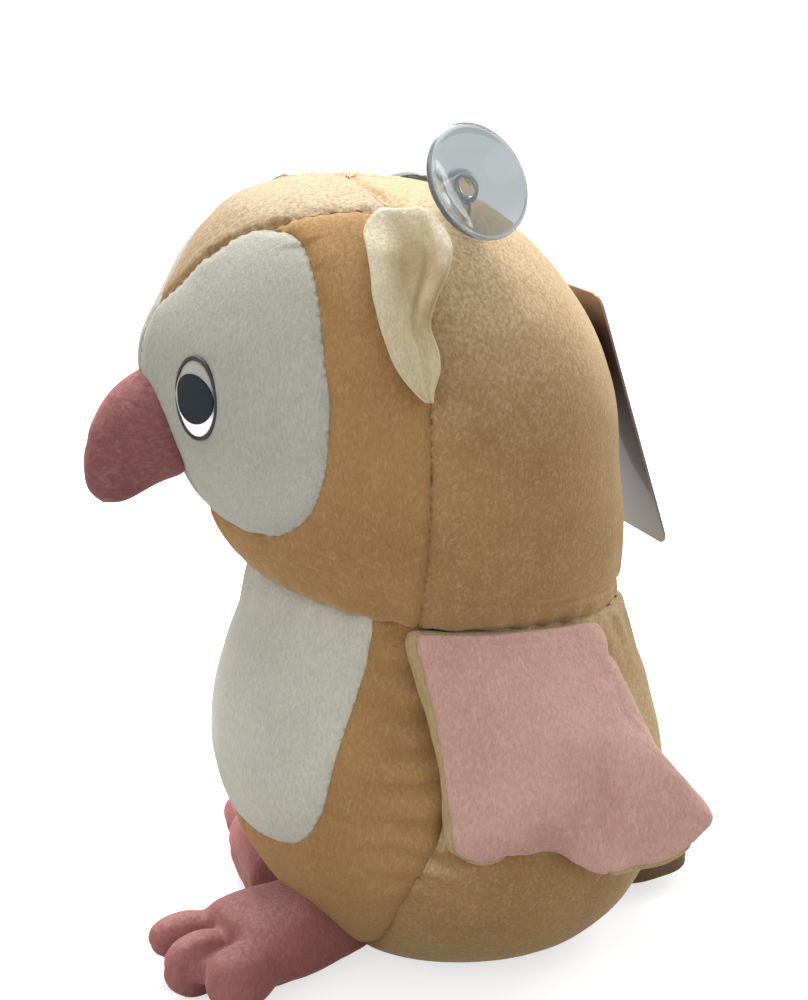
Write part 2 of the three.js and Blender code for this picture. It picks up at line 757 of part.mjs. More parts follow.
function buildHead() {
  const stuffing = stuffedSolid(headForm(PLUSH + FIT_GAP), INNER_COLUMNS, INNER_ROWS);
  const shell = outerHead.subtract(hollowHead).intersect(aboveNeck);
  const front = shell.intersect(blockBeyond('y', SIDE_SEAM_Y - SEAM_GAP / 2, -1));
  const rear = shell.intersect(blockBeyond('y', SIDE_SEAM_Y + SEAM_GAP / 2, 1));
  const facePrism = (margin) => (
    frontPrism(FACE_OUTLINE_SHARES, FACE_WIDTH, FACE_LOW, FACE_TOP, margin)
  );
  const face = front.intersect(facePrism(0));
  const rest = front.subtract(facePrism(SEAM_GAP));
  const cheeks = rest.subtract(crownPrism(SEAM_GAP));
  addSolid('head_crown', rest.intersect(crownPrism(0)), TAN);
  let filling = stuffing.intersect(aboveNeck);
  for (const [sideName, side, half] of [['left', 1, leftHalf], ['right', -1, rightHalf]]) {
    const matrix = eyeMatrix(side);
    const hole = eyeCylinder(matrix, POST_RADIUS + FIT_GAP, -POST_LENGTH, POST_LENGTH);
    const dent = eyeOval(matrix, FIT_GAP, 0, POST_LENGTH);
    addSolid(`face_${sideName}`, face.intersect(half).subtract(hole).subtract(dent), WHITE);
    addSolid(`cheek_${sideName}`, cheeks.intersect(half), TAN);
    addSolid(`head_back_${sideName}`, rear.intersect(half), TAN);
    addSolid(`eye_lens_${sideName}`, eyeLens(matrix), CLEAR);
    addSolid(`eye_backing_${sideName}`, eyeBacking(matrix), BLACK);
    addSolid(`eye_washer_${sideName}`, eyeWasher(matrix), CORD);
    const pocketDepth = POST_LENGTH + FIT_GAP;
    const pocket = eyeCylinder(matrix, WASHER_RADIUS + FIT_GAP, -pocketDepth, pocketDepth);
    filling = filling.subtract(pocket);
  }
  addSolid('head_stuffing', filling, FILL);
}

function buildBeak() {
  const rootZ = HEAD_LOW + BEAK_RISE;
  const rootY = formPlace(headForm(0), 0, rootZ, -1) + BEAK_INSET;
  const root = new THREE.Vector3(0, rootY, rootZ);
  const bend = root.clone().add(new THREE.Vector3(0, -BEAK_REACH * BEAK_BEND_SHARE, 0));
  const tip = root.clone().add(new THREE.Vector3(0, -BEAK_REACH * BEAK_TIP_SHARE, -BEAK_DROOP));
  const beak = (inset) => limbSolid({
    path: new THREE.QuadraticBezierCurve3(root, bend, tip),
    side: new THREE.Vector3(1, 0, 0),
    width: BEAK_WIDTH,
    thickness: BEAK_HEIGHT,
    sections: BEAK_SECTION_SHARES,
    roundness: BEAK_ROUNDNESS_SHARE,
    inset,
  });
  addSolid('beak_skin', beak(0).subtract(beak(PLUSH)).subtract(headKeepOut), ROSE);
  addSolid('beak_stuffing', beak(PLUSH + FIT_GAP).subtract(headKeepOut), FILL);
}

function buildBody() {
  const inner = stuffedSolid(bodyForm(PLUSH + FIT_GAP), INNER_COLUMNS, INNER_ROWS);
  const shell = outerBody.subtract(hollowBody).intersect(belowNeck);
  const base = shell.intersect(blockBeyond('z', PLUSH - SEAM_GAP, -1));
  const walls = shell.intersect(blockBeyond('z', PLUSH, 1));
  const front = walls.intersect(blockBeyond('y', BODY_SEAM_Y - SEAM_GAP / 2, -1));
  const rear = walls.intersect(blockBeyond('y', BODY_SEAM_Y + SEAM_GAP / 2, 1));
  const bellyPrism = (margin) => (
    frontPrism(BELLY_OUTLINE_SHARES, BELLY_WIDTH, BELLY_LOW, BELLY_TOP, margin)
  );
  const sides = front.subtract(bellyPrism(SEAM_GAP));
  addSolid('belly', front.intersect(bellyPrism(0)), WHITE);
  addSolid('body_base', base, TAN);
  addSolid('body_stuffing', inner.intersect(belowNeck), FILL);
  for (const [sideName, half] of [['left', leftHalf], ['right', rightHalf]]) {
    addSolid(`body_side_${sideName}`, sides.intersect(half), TAN);
    addSolid(`body_back_${sideName}`, rear.intersect(half), TAN);
  }
}

// Line that a sewn-on piece turns about, from one point to another
function hingeAlong(place, from, to, turn) {
  return { place, axis: to.clone().sub(from).normalize(), turn };
}

// Left ear as a surface: u runs from the top corner to the tip, v from the front edge to the rear
function earSurface(u, v) {
  const [dropShare, aheadShare, widthShare] = splineRow(
    EAR_OUTLINE_SHARES,
    THREE.MathUtils.clamp(u, 0, 1),
  );
  const y = SIDE_SEAM_Y + EAR_WIDTH * (widthShare * v - aheadShare);
  const z = EAR_TOP_Z - EAR_LENGTH * dropShare;
  const x = formHalfWidth(headForm(0), y, z) + EAR_STAND_OFF + EAR_LIFT * widthShare * v;
  return new THREE.Vector3(x, y, z);
}

function buildEars() {
  const hinge = hingeAlong(earSurface(0.5, 0), earSurface(0, 0), earSurface(1, 0), EAR_TURN);
  const layer = (from, to) => sweptClear(sheetLayer({
    surface: earSurface,
    inner: () => from,
    outer: () => to,
    span: [0, 1, EAR_ROOT_SHARE, 1],
    steps: EAR_STEPS,
  }), headLimbKeepOut, hinge);
  const front = layer(FIT_GAP / 2, FIT_GAP / 2 + PLUSH);
  const back = layer(-FIT_GAP / 2 - PLUSH, -FIT_GAP / 2);
  addSolid('ear_front_left', front, CREAM);
  addSolid('ear_back_left', back, CREAM);
  addSolid('ear_front_right', mirroredSolid(front), CREAM);
  addSolid('ear_back_right', mirroredSolid(back), CREAM);
}

// Left wing as a surface: u runs from front to rear, v from the seam to the hem
function wingSurface(u, v) {
  const place = THREE.MathUtils.clamp(u, 0, 1);
  const seamY = WING_FRONT_Y + WING_SEAM_LENGTH * u;
  const seamZ = neckHeightAt(seamY) - WING_SEAM_DROP;
  const seamX = formHalfWidth(bodyForm(0), seamY, seamZ) + WING_SEAM_OUT;
  const [dropShare, spanShare] = splineRow(WING_HEM_SHARES, place);
  const [flareShare] = splineRow(WING_FLARE_SHARES, place);
  const hem = new THREE.Vector3(
    formHalfWidth(bodyForm(0), WING_FRONT_Y, seamZ) + WING_FLARE * flareShare,
    WING_FRONT_Y + WING_SPAN * spanShare,
    neckHeightAt(WING_FRONT_Y) - WING_SEAM_DROP - WING_FRONT_DROP * dropShare,
  );
  const seam = new THREE.Vector3(seamX, seamY, seamZ);
  const point = seam.clone().lerp(hem, v);
  const hang = Math.sin(Math.PI * THREE.MathUtils.clamp(v, 0, 1));
  point.x += WING_BELLY * hang;
  point.y -= WING_REAR_HOLLOW * hang * place ** 2;
  return point;
}

function waddingAt(u, v) {
  const swell = Math.sin(Math.PI * THREE.MathUtils.clamp(u, 0, 1));
  const hang = Math.sin(Math.PI * THREE.MathUtils.clamp(v, 0, 1));
  return WING_WADDING / 2 * Math.sqrt(Math.max(0, swell * hang));
}

function buildWings() {
  const [stepsU, stepsV] = WING_STEPS;
  const hinge = hingeAlong(wingSurface(0.5, 0), wingSurface(1, 0), wingSurface(0, 0), WING_TURN);
  const layer = (inner, outer) => sheetLayer({
    surface: wingSurface, inner, outer, span: [0, 1, 0, 1], steps: WING_STEPS,
  });
  const near = (u, v) => waddingAt(u, v) + FIT_GAP;
  const far = (u, v) => near(u, v) + PLUSH;
  const pieces = [
    ['wing_outer', layer((u, v) => -far(u, v), (u, v) => -near(u, v)), PINK],
    ['wing_lining', layer(near, far), TAN],
    ['wing_wadding', sheetLayer({
      surface: wingSurface,
      inner: (u, v) => -waddingAt(u, v),
      outer: waddingAt,
      span: [1 / stepsU, 1 - 1 / stepsU, 1 / stepsV, 1 - 1 / stepsV],
      steps: [stepsU - 2, stepsV - 2],
    }), FILL],
  ];
  for (const [name, sheet, material] of pieces) {
    const clearOfHead = sweptClear(sheet, headLimbKeepOut, hinge);
    const solid = sweptClear(clearOfHead, bodyKeepOut, hinge);
    addSolid(`${name}_left`, solid, material);
    addSolid(`${name}_right`, mirroredSolid(solid), material);
  }
}

// Left foot pointing straight ahead from its ankle at the origin, with three toes
function footSolid(inset) {
  const middle = FOOT_THICKNESS / 2 - FOOT_FLAT_CUT;
  const ahead = (fromX, fromY, angle, length) => new THREE.LineCurve3(
    new THREE.Vector3(fromX, fromY, middle),
    new THREE.Vector3(fromX + length * Math.sin(angle), fromY - length * Math.cos(angle), middle),
  );
  const side = new THREE.Vector3(1, 0, 0);
  let foot = limbSolid({
    path: ahead(0, 0, 0, FOOT_LENGTH),
    side,
    width: FOOT_WIDTH,
    thickness: FOOT_THICKNESS,
    sections: FOOT_SECTION_SHARES,
    roundness: FOOT_ROUNDNESS_SHARE,
    inset,
  });
  for (const share of TOE_FAN_SHARES) {
    const angle = TOE_FAN_ANGLE * Math.sign(share);
    foot = foot.add(limbSolid({
      path: ahead(FOOT_WIDTH * share, TOE_LENGTH / 2 - FOOT_LENGTH, angle, TOE_LENGTH),
      side: new THREE.Vector3(Math.cos(angle), Math.sin(angle), 0),
      width: TOE_WIDTH,
      thickness: FOOT_THICKNESS,
      sections: TOE_SECTION_SHARES,
      roundness: TOE_ROUNDNESS_SHARE,
      inset,
      columns: TOE_COLUMNS,
      rows: TOE_ROWS,
    }));
  }
  return foot;
}

// Foot turned out and moved to its ankle, cut flat by the floor and clear of the body
function placedFoot(solid, foot) {
  const geometry = geometryFromSolid(solid);
  geometry.rotateZ(foot.turn);
  geometry.translate(foot.x, foot.y, 0);
  return sweptClear(solidOf(geometry), bodyKeepOut, footHinge(foot)).intersect(aboveFloor);
}

// Line across the top of a foot where it meets the body
function footHinge(foot) {
  const place = new THREE.Vector3(
    foot.x + FOOT_HINGE_REACH * Math.sin(foot.turn),
    foot.y - FOOT_HINGE_REACH * Math.cos(foot.turn),
    FOOT_THICKNESS - FOOT_FLAT_CUT,
  );
  const axis = new THREE.Vector3(-Math.cos(foot.hingeTurn), -Math.sin(foot.hingeTurn), 0);
  return { place, axis, turn: FOOT_TURN };
}

function buildFeet() {
  const skin = footSolid(0).subtract(footSolid(PLUSH));
  const stuffing = footSolid(PLUSH + FIT_GAP);
  const left = { x: LEFT_ANKLE_X, y: LEFT_ANKLE_Y, turn: LEFT_FOOT_TURN };
  const right = { x: RIGHT_ANKLE_X, y: RIGHT_ANKLE_Y, turn: RIGHT_FOOT_TURN };
  left.hingeTurn = LEFT_FOOT_TURN;
  right.hingeTurn = RIGHT_HINGE_TURN;
  for (const [sideName, foot] of [['left', left], ['right', right]]) {
    addSolid(`foot_skin_${sideName}`, placedFoot(skin, foot), ROSE);
    addSolid(`foot_stuffing_${sideName}`, placedFoot(stuffing, foot), FILL);
  }
}

function buildTail() {
  const tail = (inset) => limbSolid({
    path: new THREE.LineCurve3(
      new THREE.Vector3(0, TAIL_ROOT_Y, TAIL_HEIGHT),
      new THREE.Vector3(0, TAIL_ROOT_Y + TAIL_LENGTH, TAIL_THICKNESS / 2),
    ),
    side: new THREE.Vector3(-1, 0, 0),
    width: TAIL_WIDTH,
    thickness: TAIL_THICKNESS,
    sections: TAIL_SECTION_SHARES,
    roundness: TAIL_ROUNDNESS_SHARE,
    inset,
  });
  const hingeZ = TAIL_HEIGHT + TAIL_THICKNESS / 2;
  const hinge = {
    place: new THREE.Vector3(0, formPlace(bodyForm(0), 0, hingeZ, 1), hingeZ),
    axis: new THREE.Vector3(1, 0, 0),
    turn: TAIL_TURN,
  };
  const skin = tail(0).subtract(tail(PLUSH));
  addSolid('tail_skin', sweptClear(skin, bodyKeepOut, hinge), TAN);
  addSolid('tail_stuffing', sweptClear(tail(PLUSH + FIT_GAP), bodyKeepOut, hinge), FILL);
}

// Half section of a suction cup from the knob's end to the inside of the bell
function cupProfile() {
  const neck = CUP_KNOB_LENGTH + CUP_NECK_LENGTH;
  const lip = neck + CUP_BELL;
  const knobPoint = ([radiusShare, share]) => (
    new THREE.Vector2(CUP_KNOB_RADIUS * radiusShare, CUP_KNOB_LENGTH * share)
  );
  const bellPoint = (wall) => ([radiusShare, share]) => (
    new THREE.Vector2(CUP_RADIUS * radiusShare, neck + CUP_BELL * share + wall)
  );
  return [
    ...CUP_KNOB_SHARES.map(knobPoint),
    new THREE.Vector2(CUP_NECK_RADIUS, CUP_KNOB_LENGTH),
    new THREE.Vector2(CUP_NECK_RADIUS, neck),
    ...CUP_BACK_SHARES.map(bellPoint(0)),
    new THREE.Vector2(CUP_RADIUS, lip - CUP_WALL),
    new THREE.Vector2(CUP_RADIUS, lip),
    new THREE.Vector2(CUP_RADIUS - CUP_LIP, lip),
    ...CUP_INSIDE_SHARES.map(bellPoint(CUP_WALL)),
  ];
}

function alignedTo(geometry, aim, place) {
  const up = new THREE.Vector3(0, 1, 0);
  geometry.applyQuaternion(new THREE.Quaternion().setFromUnitVectors(up, aim));
  geometry.translate(place.x, place.y, place.z);
  return geometry;
}

// Cord of round section along a curve
function cordSolid(path, radius, steps) {
  const section = new THREE.Shape().absarc(0, 0, radius, 0, 2 * Math.PI);
  return solidOf(new THREE.ExtrudeGeometry(section, {
    steps,
    curveSegments: CORD_STEPS / 2,
    bevelEnabled: false,
    extrudePath: path,
  }));
}

// Cup with its knob's end at a place, aimed out of its mouth
function buildCup(sideName, knob, aim) {
  const cup = alignedTo(new THREE.LatheGeometry(cupProfile(), ROUND_STEPS), aim, knob);
  addSolid(`suction_cup_${sideName}`, solidOf(cup), CLEAR);
}

// Loop round a cup's neck, with a tail that is sewn to the head at an anchor point
function buildLoop(sideName, centre, aim, anchor) {
  const ringRadius = CUP_NECK_RADIUS + FIT_GAP + LOOP_CORD_RADIUS;
  const ring = new THREE.TorusGeometry(ringRadius, LOOP_CORD_RADIUS, CORD_STEPS, ROUND_STEPS / 2);
  ring.rotateX(Math.PI / 2);
  const toAnchor = anchor.clone().sub(centre);
  const sideways = toAnchor.clone().addScaledVector(aim, -toAnchor.dot(aim)).normalize();
  const start = centre.clone().addScaledVector(sideways, ringRadius);
  const end = anchor.clone().addScaledVector(headNormalAt(anchor.x, anchor.y), -CUP_KNOB_LENGTH);
  const bend = start.clone().addScaledVector(sideways, start.distanceTo(anchor) * LOOP_BEND_SHARE);
  const curve = new THREE.QuadraticBezierCurve3(start, bend, end);
  const tail = cordSolid(curve, LOOP_CORD_RADIUS, LIMB_ROWS);
  const loop = solidOf(alignedTo(ring, aim, centre)).add(tail);
  addSolid(`cup_loop_${sideName}`, loop.subtract(headKeepOut), CORD);
}

// Way that the right cup faces: down onto the head, tipped up a little at its front edge
function rightCupAim() {
  const sideways = new THREE.Vector3(-1, 0, 0);
  return headNormalAt(RIGHT_CUP_X, RIGHT_CUP_Y).negate().applyAxisAngle(sideways, RIGHT_CUP_LEAN);
}

function buildCups() {
  const neckMiddle = CUP_KNOB_LENGTH + CUP_NECK_LENGTH / 2;
  const leftKnob = headPointAt(CUP_SEAM_X, CUP_SEAM_Y).addScaledVector(LEFT_CUP_AIM, CUP_STAND_OFF);
  leftKnob.z += CUP_KNOB_RADIUS * KNOB_REST_SHARE;
  const leftNeck = leftKnob.clone().addScaledVector(LEFT_CUP_AIM, neckMiddle);
  buildCup('left', leftKnob, LEFT_CUP_AIM);
  buildLoop('left', leftNeck, LEFT_CUP_AIM, headPointAt(leftNeck.x, leftNeck.y));
  const rightAim = rightCupAim();
  const cupLength = CUP_KNOB_LENGTH + CUP_NECK_LENGTH + CUP_BELL;
  const rightKnob = headPointAt(RIGHT_CUP_X, RIGHT_CUP_Y)
    .addScaledVector(rightAim, -RIGHT_CUP_CLEARANCE - cupLength);
  const rightNeck = rightKnob.clone().addScaledVector(rightAim, neckMiddle);
  buildCup('right', rightKnob, rightAim);
  buildLoop('right', rightNeck, rightAim, headPointAt(-CUP_SEAM_X, CUP_SEAM_Y));
}

function tagGeometry() {
  const halfWidth = TAG_WIDTH / 2;
  const top = TAG_HOLE_DROP;
  const bottom = TAG_HOLE_DROP - TAG_LENGTH;
  const shape = new THREE.Shape();
  const right = halfWidth - TAG_CORNER;
  const high = top - TAG_CORNER;
  const low = bottom + TAG_CORNER;
  const quarter = Math.PI / 2;
  shape.absarc(right, high, TAG_CORNER, 0, quarter);
  shape.absarc(-right, high, TAG_CORNER, quarter, Math.PI);
  shape.absarc(-right, low, TAG_CORNER, Math.PI, Math.PI + quarter);
  shape.absarc(right, low, TAG_CORNER, -quarter, 0);
  shape.holes.push(new THREE.Path().absarc(0, 0, TAG_HOLE_RADIUS, 0, 2 * Math.PI, true));
  const geometry = new THREE.ExtrudeGeometry(shape, {
    depth: TAG_THICKNESS,
    bevelEnabled: false,
    curveSegments: LIMB_ROWS,
  });
  geometry.rotateX(Math.PI / 2);
  geometry.translate(0, TAG_THICKNESS / 2, 0);
  return geometry;
}

// Place of the tag's hole that hangs the leaning card clear of the head over its whole length
function tagHoleY(holeZ) {
  const places = Array.from({ length: ROUND_STEPS + 1 }, (_, index) => {
    const below = TAG_LENGTH * index / ROUND_STEPS - TAG_HOLE_DROP;
    const headY = formPlace(headForm(0), 0, holeZ - below * Math.cos(TAG_LEAN), 1);
    return headY - below * Math.sin(TAG_LEAN);
  });
  return Math.max(...places) + TAG_STAND_OFF;
}

function buildTag() {
  const holeZ = HEAD_LOW + TAG_RISE;
  const holeY = tagHoleY(holeZ);
  const hole = new THREE.Vector3(0, holeY, holeZ);
  const card = tagGeometry();
  card.rotateX(TAG_LEAN);
  card.translate(hole.x, hole.y, hole.z);
  addSolid('hang_tag', solidOf(card), CARD);
  const outward = new THREE.Vector3(0, Math.cos(TAG_LEAN), Math.sin(TAG_LEAN));
  const upward = new THREE.Vector3(0, -Math.sin(TAG_LEAN), Math.cos(TAG_LEAN));
  const barDepth = TAG_THICKNESS / 2 + FIT_GAP + TACK_BAR_RADIUS;
  const barPlace = hole.clone().addScaledVector(outward, barDepth);
  const barLow = barPlace.clone().addScaledVector(upward, -TACK_BAR_LENGTH / 2);
  const barHigh = barPlace.clone().addScaledVector(upward, TACK_BAR_LENGTH / 2);
  const bar = cylinderAlong(barLow, barHigh, TACK_BAR_RADIUS);
  const threadReach = holeY - formPlace(headForm(0), 0, holeZ, 1) + TAG_HOLE_DROP;
  const inside = hole.clone().addScaledVector(outward, -threadReach);
  const thread = cylinderAlong(inside, barPlace, TACK_RADIUS);
  const rootKeepOut = stuffedSolid(headForm(-TACK_ROOT_GAP), HEAD_COLUMNS, HEAD_ROWS);
  addSolid('tag_tack', bar.add(thread).subtract(rootKeepOut), CLEAR);
}

buildHead();
buildBeak();
buildBody();
buildEars();
buildWings();
buildFeet();
buildTail();
buildCups();
buildTag();

export default owl;
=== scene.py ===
"""Plush owl with padded wings, soft feet, a hooked beak, suction cups and a hang tag.

Lengths are millimetres until a mesh is made, and metres in Blender. +Z is up, the owl faces -Y
and its left side is +X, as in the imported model.
"""

import math

import bmesh
import bpy
import numpy as np
from mathutils import Matrix, Vector, kdtree, noise


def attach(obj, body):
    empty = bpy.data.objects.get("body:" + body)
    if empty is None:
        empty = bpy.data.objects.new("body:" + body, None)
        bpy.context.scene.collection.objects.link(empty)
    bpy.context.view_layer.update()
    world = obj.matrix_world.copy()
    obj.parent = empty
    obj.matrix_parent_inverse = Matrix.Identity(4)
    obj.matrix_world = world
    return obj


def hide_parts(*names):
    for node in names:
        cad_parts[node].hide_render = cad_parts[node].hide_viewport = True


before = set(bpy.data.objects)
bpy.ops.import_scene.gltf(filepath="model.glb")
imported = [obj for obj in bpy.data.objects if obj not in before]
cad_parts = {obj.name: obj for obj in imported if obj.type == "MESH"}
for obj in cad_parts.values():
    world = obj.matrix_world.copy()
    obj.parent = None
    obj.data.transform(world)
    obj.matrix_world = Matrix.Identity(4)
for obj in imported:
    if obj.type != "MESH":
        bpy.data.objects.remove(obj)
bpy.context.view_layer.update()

MM = 0.001
TINY = 1e-6
SIDES = (("left", 1), ("right", -1))

# Head
HEAD_WIDTH = 147
HEAD_DEPTH = 152
HEAD_CENTRE_Y = -26
HEAD_LOW = 98
HEAD_TOP = 250
SIDE_SEAM_Y = -38
CROWN_HALF_WIDTH = 43
CROWN_TIP_Y = -101
CROWN_BEND_SHARES = (0.55, 0.25)
FACE_WIDTH = 126
FACE_LOW = 146
FACE_TOP = 237
NECK_HEIGHT = 114.5
NECK_TILT = math.radians(7.7)

# Body
BODY_WIDTH = 143
BODY_DEPTH = 149
BODY_CENTRE_Y = -7
BODY_HEIGHT = 130
BODY_SEAM_Y = -30
BELLY_WIDTH = 102
BELLY_LOW = 43
BELLY_TOP = 150

# Beak
BEAK_WIDTH = 31
BEAK_HEIGHT = 35
BEAK_INSET = 16.5
BEAK_ROOT_Z = 181
BEAK_REACH = 37
BEAK_DROOP = 28
BEAK_BEND_SHARE = 0.66
BEAK_TIP_SHARE = 0.9
BEAK_ROUNDNESS = 2

# Eyes
EYE_WIDTH = 19
EYE_HEIGHT = 25
EYE_DOME = 3.2
EYE_PLATE = 1.2
EYE_SINK = 1.9
EYE_X = 29
EYE_Z = 189.5

# Ears
EAR_TOP_Z = 241.5
EAR_LENGTH = 47.5
EAR_WIDTH = 22.5
EAR_STAND_OFF = 3.6
EAR_LIFT = 6
EAR_ROOT_SHARE = -0.05
# Place and size of the painted shade in the ear's hollow
EAR_HOLLOW_SHADE_Y, EAR_HOLLOW_SHADE_Z = -39, 227
EAR_HOLLOW_SHADE_WIDTH, EAR_HOLLOW_SHADE_HEIGHT = 9.5, 20

# Wings
WING_SEAM_DROP = 2.4
WING_FRONT_Y = -41
WING_SEAM_LENGTH = 71
WING_FRONT_DROP = 61
WING_SPAN = 96
WING_FLARE = 19
WING_BELLY = 5.7
WING_REAR_HOLLOW = 7
WING_SEAM_OUT = 2.4

# Feet
FOOT_LENGTH = 56
FOOT_WIDTH = 39
FOOT_THICKNESS = 26
FOOT_FLAT_CUT = 0.5
TOE_LENGTH = 24
TOE_WIDTH = 14.5
TOE_THICKNESS = 20
FOOT_ROUNDNESS = 2.4
TOE_ROUNDNESS = 2.1
FEET = {
    "left": {"x": 13, "y": -42, "turn": math.radians(16)},
    "right": {"x": -9, "y": -58, "turn": math.radians(-105)},
}

# Tail
TAIL_LENGTH = 51
TAIL_WIDTH = 32
TAIL_THICKNESS = 15
TAIL_ROOT_Y = 34
TAIL_HEIGHT = 10
TAIL_ROUNDNESS = 2.2

# Suction cups and their loops
CUP_RADIUS = 17.5
CUP_LIP = 1.4
CUP_BELL = 6.5
CUP_NECK_RADIUS = 2.6
CUP_NECK_LENGTH = 3.6
CUP_KNOB_RADIUS = 5
CUP_KNOB_LENGTH = 4
CUP_WALL = 1.3
LOOP_CORD_RADIUS = 0.9

HEAD_STATIONS = [
    [0.00, 0.80, -0.270, -0.020, 0.500],
    [0.13, 0.85, -0.290, -0.030, 0.505],
    [0.26, 0.93, -0.340, -0.045, 0.500],
    [0.40, 0.985, -0.420, -0.060, 0.480],
    [0.54, 1.00, -0.488, -0.070, 0.470],
    [0.67, 0.97, -0.487, -0.075, 0.425],
    [0.79, 0.88, -0.440, -0.080, 0.345],
    [0.895, 0.72, -0.368, -0.085, 0.235],
    [0.965, 0.48, -0.265, -0.088, 0.110],
    [1.00, 0.00, -0.090, -0.090, -0.090],
]
BODY_STATIONS = [
    [0.00, 0.50, -0.19, 0.04, 0.27],
    [0.022, 0.64, -0.26, 0.035, 0.335],
    [0.09, 0.80, -0.335, 0.03, 0.405],
    [0.205, 0.93, -0.41, 0.01, 0.465],
    [0.34, 1.00, -0.47, -0.02, 0.495],
    [0.48, 0.99, -0.500, -0.06, 0.490],
    [0.615, 0.935, -0.497, -0.10, 0.462],
    [0.74, 0.865, -0.470, -0.125, 0.430],
    [0.85, 0.82, -0.435, -0.135, 0.402],
    [1.00, 0.78, -0.400, -0.140, 0.375],
]
FACE_OUTLINE = [
    [0.00, 0.72], [0.10, 0.80], [0.21, 0.92], [0.40, 1.00], [0.63, 0.97], [0.84, 0.82], [0.98, 0.60],
    [1.01, 0.42], [0.96, 0.25], [0.81, 0.10], [0.54, 0.01], [0.20, 0.00], [0.00, 0.04],
]
BELLY_OUTLINE = [
    [0.93, 1.00], [0.98, 0.70], [1.00, 0.50], [0.99, 0.31], [0.92, 0.16], [0.66, 0.04],
    [0.00, 0.00],
]
BEAK_SECTIONS = [
    [0.00, 0.92, 0.90], [0.22, 1.00, 1.00], [0.45, 0.97, 0.95], [0.66, 0.86, 0.78],
    [0.84, 0.66, 0.55], [0.95, 0.40, 0.32], [1.00, 0.00, 0.00],
]
FOOT_SECTIONS = [
    [0.00, 0.62, 0.92], [0.20, 0.70, 1.02], [0.45, 0.85, 1.05], [0.70, 0.98, 1.02],
    [0.87, 0.95, 0.92], [0.96, 0.70, 0.66], [1.00, 0.00, 0.00],
]
TOE_SECTIONS = [
    [0.00, 0.70, 0.70], [0.25, 0.92, 0.92], [0.50, 1.00, 1.00], [0.75, 0.92, 0.90],
    [0.93, 0.55, 0.52], [1.00, 0.00, 0.00],
]
TAIL_SECTIONS = [
    [0.00, 0.85, 0.90], [0.30, 0.98, 1.00], [0.60, 1.00, 0.96], [0.85, 0.78, 0.70],
    [0.96, 0.45, 0.40], [1.00, 0.00, 0.00],
]
TOE_FAN = (-0.31, 0, 0.31)
TOE_FAN_ANGLE = math.radians(13)
WING_HEM = [
    [1.00, 0.08], [1.10, 0.19], [1.09, 0.33], [1.13, 0.46], [1.25, 0.60],
    [1.26, 0.75], [1.20, 0.91], [1.02, 1.03],
]
WING_FLARES = [[0.75], [0.86], [0.92], [0.98], [1.00], [1.00], [0.96], [0.90]]
EAR_OUTLINE = [
    [0.00, 0.16, 0.36], [0.03, 0.34, 0.68], [0.09, 0.49, 0.90], [0.19, 0.52, 0.93],
    [0.316, 0.55, 0.81], [0.442, 0.58, 0.65], [0.568, 0.56, 0.52], [0.695, 0.51, 0.53],
    [0.821, 0.41, 0.43], [0.926, 0.26, 0.22], [1.00, 0.12, 0.07],
]

HEAD = {
    "width": HEAD_WIDTH, "depth": HEAD_DEPTH, "centre": HEAD_CENTRE_Y, "bottom": HEAD_LOW,
    "top": HEAD_TOP, "stations": HEAD_STATIONS, "roundness": (1.85, 2.05),
}
BODY = {
    "width": BODY_WIDTH, "depth": BODY_DEPTH, "centre": BODY_CENTRE_Y, "bottom": 0,
    "top": BODY_HEIGHT, "stations": BODY_STATIONS, "roundness": (2.05, 2.05),
}

# Steps of the searches and cuts
HALVINGS = 22
OUTLINE_STEPS = 80
OUTLINE_BLOCK = 4000
CUT_SNAP = 0.04


def linked(name, data):
    """New object with its data, in the scene."""
    piece = bpy.data.objects.new(name, data)
    bpy.context.scene.collection.objects.link(piece)
    return piece


# The camera that the photograph was taken from
CAMERA_AIM = Vector((0, -20, 145)) * MM
CAMERA_AZIMUTH = math.radians(70)
CAMERA_ELEVATION = math.radians(15)
CAMERA_DISTANCE = 0.65
CAMERA_LENS = 73.1


def make_camera():
    data = bpy.data.cameras.new("camera")
    data.lens = CAMERA_LENS
    data.sensor_width = 36
    camera = linked("camera", data)
    outward = Vector((
        math.sin(CAMERA_AZIMUTH) * math.cos(CAMERA_ELEVATION),
        -math.cos(CAMERA_AZIMUTH) * math.cos(CAMERA_ELEVATION),
        math.sin(CAMERA_ELEVATION),
    ))
    camera.location = CAMERA_AIM + outward * CAMERA_DISTANCE
    camera.rotation_euler = outward.to_track_quat("Z", "Y").to_euler()
    bpy.context.scene.camera = camera


# Shapes, worked out in numpy

def spline_rows(rows, shares):
    """Values of each column of the rows at shares of the way along them."""
    rows = np.asarray(rows, float)
    last = len(rows) - 1
    place = np.asarray(shares, float) * last
    first = np.clip(np.floor(place).astype(int), 0, last - 1)
    part = (place - first)[:, None]
    start, end = rows[first], rows[first + 1]
    leave = (end - rows[np.maximum(first - 1, 0)]) / 2
    arrive = (rows[np.minimum(first + 2, last)] - start) / 2
    cubic = (2 * start - 2 * end + leave + arrive) * part ** 3
    square = (3 * end - 3 * start - 2 * leave - arrive) * part ** 2
    return cubic + square + leave * part + start


def signed_power(value, power):
    return np.sign(value) * np.abs(value) ** power


def bell(distance, width):
    """Smooth hump of height 1 where the distance is 0."""
    return np.exp(-(distance / width) ** 2)


def groove(distance, depth, width):
    return depth * bell(distance, width)


def clamped(value):
    return np.clip(value, 0, 1)


def rounded(distance, radius):
    """Height share of a rounded edge, from 0 at the edge to 1 at a radius from it."""
    share = clamped(distance / radius)
    return np.sqrt(clamped(1 - (1 - share) ** 2))


